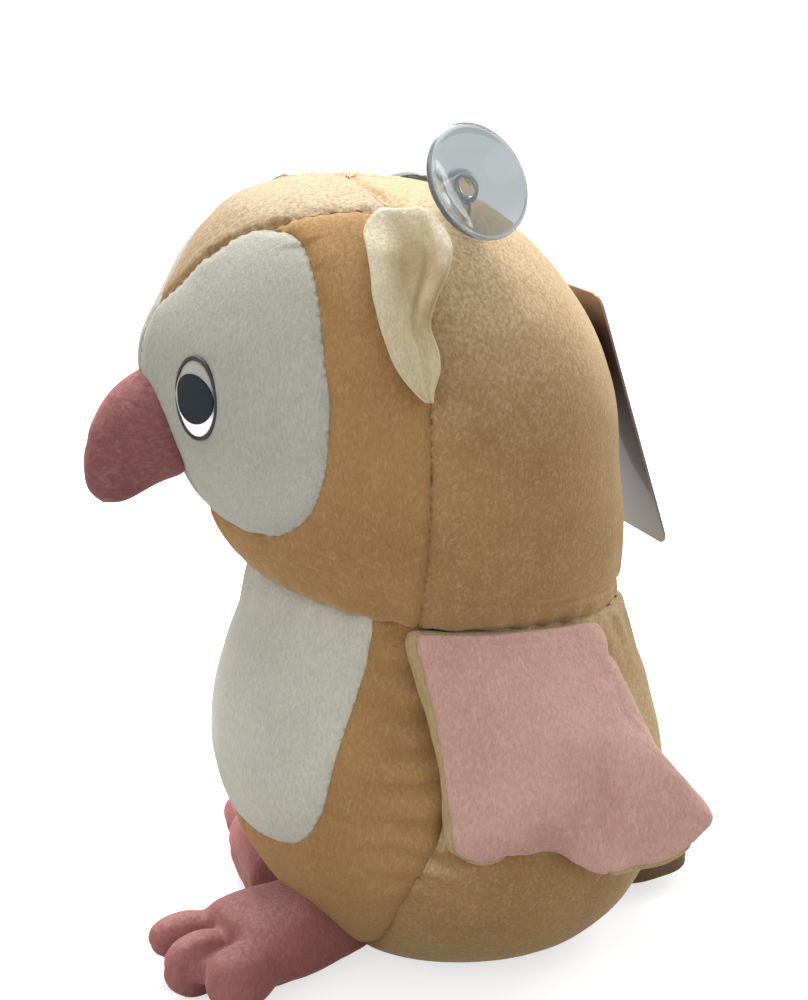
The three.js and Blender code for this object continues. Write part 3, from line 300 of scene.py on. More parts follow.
def form_rings(form, shares, columns, inset=0):
    """Rings of a stuffed form, from the bottom up, as rows x columns x 3."""
    rows = spline_rows(form["stations"], shares)
    angle = np.arange(columns) * 2 * np.pi / columns
    forward = np.cos(angle)
    front_round, rear_round = form["roundness"]
    power = np.where(forward > 0, 2 / front_round, 2 / rear_round)
    depth = form["depth"] - 2 * inset
    low = form["bottom"] + inset
    high = form["top"] - inset
    height, width, front, middle, rear = (rows[:, [k]] for k in range(5))
    reach = np.where(forward > 0, middle - front, rear - middle)
    x = width * (form["width"] / 2 - inset) * signed_power(np.sin(angle), power)
    y = form["centre"] + depth * (middle + reach * signed_power(-forward, power))
    z = (low + height * (high - low)) + 0 * angle
    return np.stack([x, y, z], axis=2)


def station_at(form, z):
    """Station values of a form at heights z."""
    height = (np.asarray(z, float) - form["bottom"]) / (form["top"] - form["bottom"])
    low = np.zeros_like(height)
    high = np.ones_like(height)
    for _ in range(HALVINGS):
        middle = (low + high) / 2
        below = spline_rows(form["stations"], middle)[:, 0] < height
        low = np.where(below, middle, low)
        high = np.where(below, high, middle)
    return spline_rows(form["stations"], low)


def form_place(form, x, z, side):
    """Y of the front skin (side -1) or rear skin (side 1) at x and z."""
    _, width, front, middle, rear = station_at(form, z).T
    across = np.minimum(1, np.abs(x) / np.maximum(width * form["width"] / 2, TINY))
    roundness = form["roundness"][0 if side < 0 else 1]
    reach = (1 - across ** roundness) ** (1 / roundness)
    edge = front if side < 0 else rear
    return form["centre"] + form["depth"] * (middle + (edge - middle) * reach)


def form_half_width(form, y, z):
    """Half-width of a form at places y and heights z."""
    _, width, front, middle, rear = station_at(form, z).T
    share = (np.asarray(y, float) - form["centre"]) / form["depth"] - middle
    ahead = share < 0
    reach = np.where(ahead, front - middle, rear - middle)
    roundness = np.where(ahead, form["roundness"][0], form["roundness"][1])
    along = clamped(share / reach)
    return width * form["width"] / 2 * (1 - along ** roundness) ** (1 / roundness)


def head_point(x, y):
    """Point of the head's top skin over x and y."""
    low, high = (HEAD_TOP + HEAD_LOW) / 2, HEAD_TOP
    for _ in range(HALVINGS):
        z = (low + high) / 2
        if form_half_width(HEAD, [y], [z])[0] > abs(x):
            low = z
        else:
            high = z
    return np.array([x, y, low])


def head_normal(x, y):
    step = 2.5
    across = head_point(x + step, y) - head_point(x - step, y)
    along = head_point(x, y + step) - head_point(x, y - step)
    return unit(np.cross(across, along))


def unit(vectors):
    vectors = np.asarray(vectors, float)
    return vectors / np.maximum(np.linalg.norm(vectors, axis=-1, keepdims=True), 1e-9)


def neck_distance(points):
    """Height above the tilted neck seam."""
    return ((points[:, 2] - NECK_HEIGHT) * math.cos(NECK_TILT)
            + points[:, 1] * math.sin(NECK_TILT))


def spline_curve(points, steps):
    """Smooth open curve through points."""
    return spline_rows(points, np.linspace(0, 1, steps))


def mirrored_outline(shares, width, low, high):
    half = spline_curve(shares, OUTLINE_STEPS)
    half = np.column_stack([half[:, 0] * width / 2, low + half[:, 1] * (high - low)])
    return np.vstack([half, (half * [-1, 1])[::-1]])


def outline_distance(points, outline):
    """Signed distance to a closed outline in its plane, positive inside."""
    start = outline
    edge = np.roll(outline, -1, axis=0) - start
    length = np.maximum((edge ** 2).sum(axis=1), 1e-12)
    result = np.empty(len(points))
    for first in range(0, len(points), OUTLINE_BLOCK):
        block = points[first:first + OUTLINE_BLOCK]
        offset = block[:, None, :] - start[None, :, :]
        along = clamped((offset * edge).sum(axis=2) / length)
        gap = offset - along[..., None] * edge
        nearest = np.sqrt((gap ** 2).sum(axis=2).min(axis=1))
        rises = (start[:, 1] > block[:, [1]]) != (np.roll(start[:, 1], -1) > block[:, [1]])
        with np.errstate(divide="ignore", invalid="ignore"):
            crossing = start[:, 0] + (block[:, [1]] - start[:, 1]) * edge[:, 0] / edge[:, 1]
        inside = (rises & (block[:, [0]] < crossing)).sum(axis=1) % 2 == 1
        result[first:first + OUTLINE_BLOCK] = np.where(inside, nearest, -nearest)
    return result


# Dense triangle meshes that are cut into sewn panels

def ring_triangles(rows, columns, closed=True):
    steps = columns if closed else columns - 1
    row, column = np.meshgrid(np.arange(rows - 1), np.arange(steps), indexing="ij")
    here = (row * columns + column).ravel()
    after = (row * columns + (column + 1) % columns).ravel()
    return np.vstack([
        np.column_stack([here, after, after + columns]),
        np.column_stack([here, after + columns, here + columns]),
    ])


def cut_along(data, triangles, column):
    """Splits triangles where a column of the vertex data changes sign."""
    data = data.copy()
    value = data[:, column]
    value[np.abs(value) < CUT_SNAP] = 0
    signs = np.sign(value)[triangles]
    crossed = (signs.min(axis=1) < 0) & (signs.max(axis=1) > 0)
    kept = triangles[~crossed]
    added, fresh, cache = [], [], {}

    def middle(a, b):
        key = (min(a, b), max(a, b))
        if key not in cache:
            share = value[key[0]] / (value[key[0]] - value[key[1]])
            point = data[key[0]] + (data[key[1]] - data[key[0]]) * share
            point[column] = 0
            cache[key] = len(data) + len(fresh)
            fresh.append(point)
        return cache[key]

    for corners in triangles[crossed].tolist():
        marks = [np.sign(value[corner]) for corner in corners]
        if 0 in marks:
            turn = marks.index(0)
        else:
            turn = next(k for k in range(3) if marks.count(marks[k]) == 1)
        a, b, c = corners[turn:] + corners[:turn]
        if 0 in marks:
            split = middle(b, c)
            added += [(a, b, split), (a, split, c)]
        else:
            near, far = middle(a, b), middle(c, a)
            added += [(a, near, far), (near, b, c), (near, c, far)]
    if fresh:
        data = np.vstack([data, np.array(fresh)])
        kept = np.vstack([kept, np.array(added)])
    return data, kept


def vertex_normals(points, triangles):
    a, b, c = (points[triangles[:, k]] for k in range(3))
    face = np.cross(b - a, c - a)
    total = np.zeros_like(points)
    for k in range(3):
        np.add.at(total, triangles[:, k], face)
    return unit(total)


def seam_tree(points, triangles, labels):
    """Tree of closely spaced points along the edges where two panels meet, or that are free."""
    pairs = np.vstack([triangles[:, [0, 1]], triangles[:, [1, 2]], triangles[:, [2, 0]]])
    owner = np.tile(labels, 3)
    pairs = np.sort(pairs, axis=1)
    order = np.lexsort((pairs[:, 1], pairs[:, 0]))
    pairs, owner = pairs[order], owner[order]
    same = (pairs[1:] == pairs[:-1]).all(axis=1)
    differ = same & (owner[1:] != owner[:-1])
    alone = np.ones(len(pairs), bool)
    alone[1:] &= ~same
    alone[:-1] &= ~same
    edges = np.vstack([pairs[1:][differ], pairs[alone]])
    samples = np.vstack([
        points[edges[:, 0]] * (1 - share) + points[edges[:, 1]] * share for share in (0, 0.33, 0.67)
    ])
    tree = kdtree.KDTree(len(samples))
    for index, point in enumerate(samples):
        tree.insert(point, index)
    tree.balance()
    return tree


def tree_distance(tree, points):
    return np.array([tree.find(point)[2] for point in points])


def lumps(points, scale, seed=0):
    """Smooth noise at places, from -1 to 1, with lumps about scale across."""
    shift = Vector((seed * 17.3, seed * 9.1, seed * 5.7))
    return np.array([noise.noise(Vector(point) / scale + shift) for point in points])


def bumps(points, layers):
    """Layers of lumps, each with a height, a size and a seed."""
    return sum(height * lumps(points, size, seed) for height, size, seed in layers)


def mesh_object(name, points, faces):
    mesh = bpy.data.meshes.new(name)
    mesh.from_pydata((np.asarray(points) * MM).tolist(), [], np.asarray(faces).tolist())
    mesh.update()
    mesh.polygons.foreach_set("use_smooth", [True] * len(mesh.polygons))
    return linked(name, mesh)


def thickened(piece, thickness):
    """Gives an outer skin a thickness inward."""
    solidify = piece.modifiers.new("thickness", "SOLIDIFY")
    solidify.thickness = thickness * MM
    solidify.offset = -1
    return piece


def panel_object(name, points, triangles, thickness):
    used, faces = np.unique(triangles, return_inverse=True)
    return thickened(mesh_object(name, points[used], faces.reshape(triangles.shape)), thickness)


def applied(piece):
    """Replaces a piece's mesh with the result of its modifiers."""
    graph = bpy.context.evaluated_depsgraph_get()
    mesh = bpy.data.meshes.new_from_object(piece.evaluated_get(graph))
    piece.modifiers.clear()
    old, piece.data = piece.data, mesh
    mesh.name = piece.name
    bpy.data.meshes.remove(old)
    return piece


def fix_normals(piece):
    mesh = bmesh.new()
    mesh.from_mesh(piece.data)
    bmesh.ops.recalc_face_normals(mesh, faces=mesh.faces)
    mesh.to_mesh(piece.data)
    mesh.free()
    return piece


def read_all(items, attribute, width, kind=float):
    values = np.empty(len(items) * width, dtype=kind)
    items.foreach_get(attribute, values)
    return values.reshape(-1, width)


def mesh_points(piece):
    return read_all(piece.data.vertices, "co", 3) / MM


def mesh_normals(piece):
    return read_all(piece.data.vertices, "normal", 3)


def mesh_faces(piece, corners=3):
    return read_all(piece.data.polygons, "vertices", corners, np.int32)


def set_points(piece, points):
    piece.data.vertices.foreach_set("co", (points * MM).ravel())
    piece.data.update()


def settle(piece, material, body, nodes=()):
    """Gives a piece its material and body, and hides the CAD nodes that it stands for."""
    piece.data.materials.clear()
    piece.data.materials.append(material)
    if nodes:
        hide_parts(*nodes)
    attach(piece, body)


# Materials

def srgb(red, green, blue):
    def linear(value):
        share = value / 255
        return share / 12.92 if share <= 0.04045 else ((share + 0.055) / 1.055) ** 2.4
    return (linear(red), linear(green), linear(blue), 1)


def grey(value):
    return (value, value, value, 1)


class Nodes:
    """Short calls for the node tree of a material or the world."""

    def __init__(self, owner, shader="Principled BSDF"):
        owner.use_nodes = True
        self.owner, self.tree = owner, owner.node_tree
        self.shader = self.tree.nodes[shader]

    def feed(self, value, socket):
        if hasattr(value, "links"):
            self.tree.links.new(value, socket)
        else:
            socket.default_value = value

    def add(self, kind, values=None):
        """New node; the values are settings of the node, or numbers and links for its inputs."""
        node = self.tree.nodes.new(kind)
        for key, value in (values or {}).items():
            if isinstance(key, str) and hasattr(node, key):
                setattr(node, key, value)
            else:
                self.feed(value, node.inputs[key])
        return node

    def set(self, **inputs):
        for key, value in inputs.items():
            self.feed(value, self.shader.inputs[key.replace("_", " ")])

    def place(self, scale=None):
        """Coordinates of the object, stretched if there is a scale."""
        coordinates = self.add("ShaderNodeTexCoord").outputs["Object"]
        if scale is None:
            return coordinates
        return self.add("ShaderNodeMapping", {"Vector": coordinates, "Scale": scale}).outputs["Vector"]

    def height(self, vector):
        return self.add("ShaderNodeSeparateXYZ", {0: vector}).outputs["Z"]

    def length(self, vector):
        return self.add("ShaderNodeVectorMath", {"operation": "LENGTH", 0: vector}).outputs["Value"]

    def noise(self, vector, scale, detail=2, roughness=0.5):
        return self.add("ShaderNodeTexNoise", {
            "Vector": vector, "Scale": scale, "Detail": detail, "Roughness": roughness}).outputs["Fac"]

    def ramp(self, link, *stops):
        node = self.add("ShaderNodeValToRGB", {"Fac": link})
        while len(node.color_ramp.elements) < len(stops):
            node.color_ramp.elements.new(0.5)
        for element, (place, colour) in zip(node.color_ramp.elements, stops):
            element.position = place
            element.color = colour
        return node.outputs["Color"]

    def mix(self, share, first, second, blend="MIX"):
        values = {"data_type": "RGBA", "blend_type": blend, 0: share, 6: first, 7: second}
        return self.add("ShaderNodeMix", values).outputs[2]

    def maths(self, operation, first, second):
        return self.add("ShaderNodeMath", {"operation": operation, 0: first, 1: second}).outputs[0]

    def seen(self):
        """1 where the background is seen straight, in a reflection or through clear plastic."""
        path = self.add("ShaderNodeLightPath").outputs
        total = self.maths("ADD", path["Is Camera Ray"], path["Is Glossy Ray"])
        return self.maths("MINIMUM", self.maths("ADD", total, path["Is Transmission Ray"]), 1)


def material_nodes(name):
    return Nodes(bpy.data.materials.new(name))


def plush_material(name, colour, pale, shade, tips, nap, painted_top_light=0.25, lie=(1, 1, 0.4), low=0.35):
    """Short pile: fine hairs along their lie, pale tips in small tufts, and painted top light that makes it
    paler where it faces up.
    """
    nodes = material_nodes(name)
    colour, pale, shade = srgb(*colour), srgb(*pale), srgb(*shade)
    hairs = nodes.noise(nodes.place(lie), 1300 * nap, 3, 0.7)
    tufts = nodes.noise(nodes.place(tuple(math.sqrt(share) for share in lie)), 640 * nap, 3, 0.62)
    clumps = nodes.noise(nodes.place((1, 1, 0.8)), 210 * nap, 2, 0.5)
    broad = nodes.noise(nodes.place(), 26, 3, 0.5)
    base = nodes.mix(nodes.ramp(broad, (0.32, grey(0)), (0.70, grey(1))), shade, colour)
    tip = nodes.maths(
        "MULTIPLY", nodes.ramp(tufts, (0.46, grey(0)), (0.66, grey(1))),
        nodes.ramp(clumps, (0.30, grey(0.35 * tips)), (0.66, grey(1.5 * tips))))
    base = nodes.mix(tip, base, pale)
    # Painted top light: mixed towards the pale colour where the normal points up, starting at the normal
    # height low.
    upward = nodes.height(nodes.add("ShaderNodeNewGeometry").outputs["Normal"])
    rise = nodes.ramp(upward, (low, grey(0)), (0.95, grey(painted_top_light)))
    rise = nodes.maths("MULTIPLY", rise, nodes.ramp(tufts, (0.36, grey(0.45)), (0.60, grey(1.15))))
    base = nodes.mix(rise, base, pale)
    fine = nodes.ramp(hairs, (0.30, grey(0.84)), (0.68, grey(1.10)))
    height = nodes.maths("ADD", hairs, nodes.maths("MULTIPLY", tufts, 1.2))
    bump = nodes.add("ShaderNodeBump", {"Strength": 0.45, "Distance": 0.0006, "Height": height})
    nodes.set(
        Base_Color=nodes.mix(1, base, fine, "MULTIPLY"), Normal=bump.outputs["Normal"],
        Roughness=0.94, Specular_IOR_Level=0.1, Sheen_Weight=0.8, Sheen_Roughness=0.35, Sheen_Tint=pale)
    return nodes.owner


def plain_material(name, colour, roughness, **inputs):
    nodes = material_nodes(name)
    colour = srgb(*colour)
    darker = tuple(share * 0.94 for share in colour[:3]) + (1,)
    mottled = nodes.mix(nodes.noise(nodes.place(), 120, 3, 0.5), darker, colour)
    nodes.set(Base_Color=mottled, Roughness=roughness, **inputs)
    return nodes.owner


def ear_material():
    """Cream plush with painted shade, a browner tone, in the hollow inside its rolled edges."""
    nodes = Nodes(plush_material(
        "cream_plush_ear_painted_shade", (208, 192, 158), (238, 230, 210), (194, 176, 140), 0.15, 1.2, 0.8))
    hollow_shade_spot = nodes.add("ShaderNodeMapping", {
        "Vector": nodes.place(),
        "Location": (0, -EAR_HOLLOW_SHADE_Y / EAR_HOLLOW_SHADE_WIDTH, -EAR_HOLLOW_SHADE_Z / EAR_HOLLOW_SHADE_HEIGHT),
        "Scale": (0, 1 / (EAR_HOLLOW_SHADE_WIDTH * MM), 1 / (EAR_HOLLOW_SHADE_HEIGHT * MM))})
    share = nodes.ramp(nodes.length(hollow_shade_spot.outputs["Vector"]), (0.45, grey(0.75)), (1.05, grey(0)))
    base = nodes.shader.inputs["Base Color"].links[0].from_socket
    # Painted shade: the hollow is mixed towards a browner tone.
    nodes.set(Base_Color=nodes.mix(share, base, srgb(158, 130, 90)))
    return nodes.owner


def eye_white_material():
    """White below the pupil, and grey above it as painted shade."""
    nodes = material_nodes("eye_white")
    drop = nodes.maths("SUBTRACT", EYE_Z * MM, nodes.height(nodes.place()))
    share = nodes.maths("ADD", nodes.maths("MULTIPLY", drop, 1 / (EYE_HEIGHT * MM)), 0.5)
    nodes.set(Roughness=0.4, Base_Color=nodes.ramp(
        share, (0.15, srgb(138, 136, 132)), (0.55, srgb(120, 118, 116)), (0.72, srgb(244, 242, 238))))
    return nodes.owner


def card_material():
    """Smooth card with painted light and shade: a brown painted-light top that fades to a grey-mauve painted
    shade below.
    """
    nodes = material_nodes("tag_card")
    rise = nodes.maths("SUBTRACT", nodes.height(nodes.place()), CARD_LOW * MM)
    # Painted light at the top and painted shade below, along the card's height.
    colour = nodes.ramp(
        nodes.maths("MULTIPLY", rise, 1 / (CARD_LENGTH * MM)),
        (0.00, srgb(128, 117, 108)), (0.22, srgb(104, 92, 88)), (0.55, srgb(92, 76, 76)),
        (0.86, srgb(112, 86, 74)), (1.00, srgb(172, 142, 116)))
    fibre = nodes.ramp(nodes.noise(nodes.place(), 900, 3, 0.6), (0.3, grey(0.95)), (0.7, grey(1.03)))
    nodes.set(Base_Color=nodes.mix(1, colour, fibre, "MULTIPLY"), Roughness=0.42, Coat_Weight=0.25)
    return nodes.owner


CARD_LOW, CARD_LENGTH = 124, 88
WHITE = plush_material("white_plush", (200, 197, 182), (216, 214, 203), (188, 185, 170), 0.12, 1, 0.3)
# Darker copy of the white plush for the face: painted shade.
WHITE_FACE_PAINTED_SHADE = plush_material(
    "white_plush_face_painted_shade", (182, 180, 167), (202, 200, 190), (170, 168, 155), 0.12, 1, 0.3)
TAN = plush_material("tan_plush", (170, 131, 84), (210, 182, 140), (154, 116, 72), 0.14, 1.2, 0.3)
# Crown copy of the tan plush with strong painted top light.
TAN_CROWN_PAINTED_LIGHT = plush_material(
    "tan_plush_crown_painted_light", (156, 123, 82), (208, 194, 168), (144, 112, 74), 0.2, 1.2, 0.75, low=0.45)
# Back copy of the tan plush: a brushed lie of its own, and painted top light that starts at the sides and
# grows towards the top.
TAN_BACK_PAINTED_LIGHT = plush_material(
    "tan_plush_brushed_painted_light", (166, 130, 86), (222, 202, 166), (148, 114, 72), 0.16, 1.3, 0.85,
    (1, 1, 0.7), 0)
# Darker copy of the tan plush for the tail: painted shade under the wing.
TAN_TAIL_PAINTED_SHADE = plush_material("tan_plush_shaded", (112, 90, 68), (150, 128, 100), (96, 76, 56), 0.1, 1.2)
CREAM = plush_material("cream_plush", (206, 188, 152), (236, 228, 206), (190, 170, 132), 0.15, 1.2, 0.8)
PINK = plush_material("pink_plush", (208, 168, 152), (226, 200, 188), (190, 145, 134), 0.18, 1.1, 0.4)
# Darker copy of the rose plush for the beak, as painted shade; the feet get a lighter copy with painted top
# light on the toes.
ROSE_BEAK_PAINTED_SHADE = plush_material(
    "rose_plush", (142, 92, 90), (178, 128, 124), (122, 76, 76), 0.25, 1, 0.6, (0.4, 0.4, 1))
ROSE_FOOT_PAINTED_LIGHT = plush_material(
    "rose_plush_foot_painted_light", (162, 104, 99), (214, 170, 164), (148, 92, 88), 0.07, 1, 0.35, low=0.6)
LINING = plush_material(
    "tan_plush_lining", (184, 158, 116), (222, 206, 172), (168, 142, 102), 0.15, 1.2, 0.4)
EAR_CREAM_PAINTED_SHADE = ear_material()
FILLING = plain_material("fibre_filling", (226, 224, 218), 1, Sheen_Weight=0.3)
BLACK = plain_material("eye_black", (30, 28, 26), 0.6)
EYE_WHITE = eye_white_material()
PUPIL = plain_material("eye_pupil", (30, 36, 40), 0.6, Specular_IOR_Level=0.1)
PLASTIC = plain_material("white_plastic", (222, 218, 208), 0.4)
CLEAR = plain_material("clear_pvc", (172, 179, 180), 0.08, Transmission_Weight=0.88, IOR=1.3)
DOME = plain_material("eye_dome", (250, 250, 250), 0.02, Transmission_Weight=1, IOR=1)
CORD = plain_material("loop_cord", (224, 222, 216), 0.2, Transmission_Weight=0.6, IOR=1.4)
CARD = card_material()


# Head and body: stuffed forms cut into sewn panels

PANEL_THICKNESS = 1.2
FAR_OUTSIDE = -40.0
FIELD_OVERLAP = 12
SEAM_WIDTH, SEAM_VALLEY, STITCH_WIDTH, STITCH_PITCH = 1.5, 5, 1.2, 3.2
STITCH_LEAN = 0.6
EDGE_REACH, CROWN_REACH = 3, 8
GATHER_HEIGHT, GATHER_WANDER = 0.7, 2.5
HEAD_GRID, BODY_GRID = (176, 288), (130, 264)
HEAD_LUMPS = ((0.75, 30, 1), (0.3, 11, 2))
BODY_LUMPS = ((0.9, 28, 5), (0.3, 10, 6))
TUCK_HEIGHT, TUCK_DEPTH = 14, 6.8
TAG_TOP_Z = 212
BROW_HEIGHT, BROW_Z, BROW_FRONT_Y = 3.6, 202, -60
CROWN_FLAT_Z, CROWN_FLAT_PUSH = 240, 0.2
SEAM_BEND_Z, SEAM_BEND_HEIGHT, SEAM_BEND = 75, 48, 13
FOLD_PITCH, FOLD_HEIGHT = 11, 1.3
FILLING_INSET = 9
FLAT_AREA = 1e-7


def crown_outline():
    bend_x = CROWN_HALF_WIDTH * CROWN_BEND_SHARES[0]
    bend_y = CROWN_TIP_Y + (SIDE_SEAM_Y - CROWN_TIP_Y) * CROWN_BEND_SHARES[1]
    tip, bend, end = (np.array([corner], float) for corner in (
        (0, CROWN_TIP_Y), (bend_x, bend_y), (CROWN_HALF_WIDTH, SIDE_SEAM_Y)))
    half = np.vstack([bezier(tip, bend, end, np.linspace(0, 1, 24)), [[CROWN_HALF_WIDTH, 0]]])
    return np.vstack([half, (half * [-1, 1])[::-1]])


def sewn_form(form, grid, fields, kept_field, label_of):
    """Point data, triangles, their labels and each point's distance to a seam of a cut form."""
    points = form_rings(form, np.linspace(0, 1, grid[0]), grid[1]).reshape(-1, 3)
    triangles = ring_triangles(*grid)
    data = np.column_stack([points, fields(points)])
    for column in range(3, data.shape[1]):
        data, triangles = cut_along(data, triangles, column)
    middle = data[triangles].mean(axis=1)
    a, b, c = (data[triangles[:, k], :3] for k in range(3))
    full = np.linalg.norm(np.cross(b - a, c - a), axis=1) >= FLAT_AREA
    kept = full & (middle[:, kept_field] > 0)
    labels = label_of(middle[kept])
    used, triangles = np.unique(triangles[kept], return_inverse=True)
    data, triangles = data[used], triangles.reshape(-1, 3)
    seam = tree_distance(seam_tree(data[:, :3], triangles, labels), data[:, :3])
    return data, triangles, labels, seam


def outline_field(points, near, plane, outline):
    """Distance to an outline for the near points, and a far one for the others."""
    result = np.full(len(points), FAR_OUTSIDE)
    result[near] = outline_distance(points[near][:, plane], outline)
    return result


def both_sides(name, *rest):
    return [(f"{name}_{side_name}", *rest) for side_name, _ in SIDES]


def sew_panels(data, triangles, labels, push, panels):
    """Pushes the skin outward and makes one piece of each label, in the order of the panels."""
    points = data[:, :3] + vertex_normals(data[:, :3], triangles) * push[:, None]
    points[:, 2] = np.maximum(points[:, 2], 0.3)
    for label, (name, material, slot) in enumerate(panels):
        piece = panel_object(f"{name}_plush", points, triangles[labels == label], PANEL_THICKNESS)
        settle(piece, material, "plush", [name])


def stitches(points, lean=STITCH_LEAN):
    """Wave from 0 to 1 with the pitch of the stitches."""
    return 0.5 + 0.5 * np.sin((points[:, 2] + lean * points[:, 1]) * 2 * math.pi / STITCH_PITCH)


def gathers(points, drop, centre, count, lump, fade):
    """Gathered fabric that fades with the drop from the neck seam."""
    angle = np.arctan2(points[:, 0], -(points[:, 1] + centre))
    wave = np.sin(angle * count + GATHER_WANDER * lumps(points, *lump))
    return GATHER_HEIGHT * wave * np.exp(-np.maximum(drop, 0) / fade)


FACE_FIELD, CROWN_FIELD, CENTRE_FIELD, SIDE_FIELD, NECK_FIELD = range(3, 8)


def head_fields(points):
    face = outline_field(
        points, points[:, 1] < SIDE_SEAM_Y + FIELD_OVERLAP, [0, 2],
        mirrored_outline(FACE_OUTLINE, FACE_WIDTH, FACE_LOW, FACE_TOP))
    crown = outline_field(points, points[:, 2] > (FACE_LOW + FACE_TOP) / 2, [0, 1], crown_outline())
    return np.column_stack([
        face, crown, points[:, 0], points[:, 1] - SIDE_SEAM_Y, neck_distance(points),
    ])


def head_labels(middle):
    """0 and 1 face, 2 and 3 cheeks, 4 and 5 back, 6 crown; the left one first."""
    right = (middle[:, CENTRE_FIELD] < 0).astype(int)
    rear = middle[:, SIDE_FIELD] > 0
    face = middle[:, FACE_FIELD] > 0
    crown = middle[:, CROWN_FIELD] > 0
    return np.where(rear, 4 + right, np.where(face, right, np.where(crown, 6, 2 + right)))


def build_head():
    data, triangles, labels, seam = sewn_form(HEAD, HEAD_GRID, head_fields, NECK_FIELD, head_labels)
    points, neck, side = data[:, :3], data[:, NECK_FIELD], data[:, SIDE_FIELD]
    x, y, z = points.T
    face_edge = (np.abs(data[:, FACE_FIELD]) < EDGE_REACH) & (side < 0)
    crown_edge = (np.abs(data[:, CROWN_FIELD]) < CROWN_REACH) & (side < -EDGE_REACH)
    push = 0.7 - groove(seam, np.where(crown_edge, 0.5, np.where(face_edge, 0.7, 1.5)), SEAM_WIDTH)
    push -= groove(seam, np.where(crown_edge, 0.2, 0.9), SEAM_VALLEY)
    push -= groove(seam, 0.4, STITCH_WIDTH) * stitches(points)
    push += bumps(points, HEAD_LUMPS)
    neck_fold = neck - 11 - 3 * lumps(points, 30, 21)
    push -= groove(neck_fold, 1.4, 2) * clamped((y + 34) / 12)
    push -= bell(x, 18) * bell(z - TAG_TOP_Z, 14) * (y > 20) * np.maximum(push, 0)
    push += gathers(points, neck, 10, 34, (18, 3), 6)
    push -= groove(seam, 0.7, 3) * clamped(lumps(points, 7, 4) * 3 - 0.7)
    push -= TUCK_DEPTH * (1 - rounded(neck, TUCK_HEIGHT))
    push += BROW_HEIGHT * bell(x, 11) * bell(z - BROW_Z, 17) * (y < BROW_FRONT_Y)
    push += clamped((z - CROWN_FLAT_Z) / 7) * (np.minimum(push, CROWN_FLAT_PUSH) - push)
    sew_panels(data, triangles, labels, push, [
        *both_sides("face", WHITE_FACE_PAINTED_SHADE, "white_plush"), *both_sides("cheek", TAN, "tan_plush"),
        *both_sides("head_back", TAN_BACK_PAINTED_LIGHT, "tan_plush"), ("head_crown", TAN_CROWN_PAINTED_LIGHT, "tan_plush"),
    ])


BELLY_FIELD, HALF_FIELD, SEAM_FIELD, TOP_FIELD = range(3, 7)


def side_seam_y(z):
    """The side seam bends forward towards the base."""
    share = clamped((SEAM_BEND_Z - z) / SEAM_BEND_HEIGHT)
    return BODY_SEAM_Y - SEAM_BEND * share ** 2 * (3 - 2 * share)


def body_fields(points):
    belly = outline_field(
        points, points[:, 1] < BODY_SEAM_Y + FIELD_OVERLAP, [0, 2],
        mirrored_outline(BELLY_OUTLINE, BELLY_WIDTH, BELLY_LOW, BELLY_TOP))
    return np.column_stack([
        belly, points[:, 0], points[:, 1] - side_seam_y(points[:, 2]), 4 - neck_distance(points),
    ])


def body_labels(middle):
    """0 belly, 1 and 2 sides, 3 and 4 back; the left one first."""
    right = (middle[:, HALF_FIELD] < 0).astype(int)
    rear = middle[:, SEAM_FIELD] > 0
    belly = middle[:, BELLY_FIELD] > 0
    return np.where(rear, 3 + right, np.where(belly, 0, 1 + right))


def build_body():
    data, triangles, labels, seam = sewn_form(BODY, BODY_GRID, body_fields, TOP_FIELD, body_labels)
    points = data[:, :3]
    x, y, z = points.T
    belly_edge = (np.abs(data[:, BELLY_FIELD]) < EDGE_REACH) & (data[:, SEAM_FIELD] < 0)
    push = 0.6 - groove(seam, np.where(belly_edge, 0.7, 1.4), SEAM_WIDTH)
    push -= groove(seam, 0.9, SEAM_VALLEY) + groove(seam, 0.25, STITCH_WIDTH) * stitches(points)
    push += bumps(points, BODY_LUMPS)
    folds = np.sin(z * 2 * math.pi / FOLD_PITCH + 3 * lumps(points, 24, 7))
    panel = bell(y - BODY_SEAM_Y + 8, 15) * clamped(np.abs(x) / 60) * clamped((z - 30) / 30)
    push += FOLD_HEIGHT * folds * panel
    push += gathers(points, -neck_distance(points), 7, 30, (16, 8), 9)
    sew_panels(data, triangles, labels, push * clamped(z / 10), [
        ("belly", WHITE, "white_plush"), *both_sides("body_side", TAN, "tan_plush"),
        *both_sides("body_back", TAN_BACK_PAINTED_LIGHT, "tan_plush"),
    ])


def build_base():
    """Flat panel whose rim turns up a little."""
    columns = 96
    rim = form_rings(BODY, [0.0], columns)[0]
    centre = rim.mean(axis=0)
    rings = [
        (centre + (rim - centre) * share) * [1, 1, 0] + [0, 0, lift]
        for share, lift in ((1, 0.9), (0.97, 0), (0.7, 0), (0.35, 0))
    ]
    faces = ring_triangles(len(rings), columns)[:, ::-1].tolist()
    last, start = len(rings) * columns, (len(rings) - 1) * columns
    faces += [[last, start + k, start + (k + 1) % columns] for k in range(columns)]
    piece = fix_normals(mesh_object("base_plush", np.vstack([*rings, centre * [1, 1, 0]]), faces))
    settle(thickened(piece, PANEL_THICKNESS), TAN, "plush", ["body_base"])


def tube(rings):
    """Points and triangles of rings of points, closed at both ends."""
    rows, columns = rings.shape[:2]
    points = rings.reshape(-1, 3)
    faces = ring_triangles(rows, columns).tolist()
    tip, last = len(points), len(points) - columns
    for k in range(columns):
        after = (k + 1) % columns
        faces += [[tip, after, k], [tip + 1, last + k, last + after]]
    return np.vstack([points, points[:columns].mean(axis=0), points[last:].mean(axis=0)]), faces


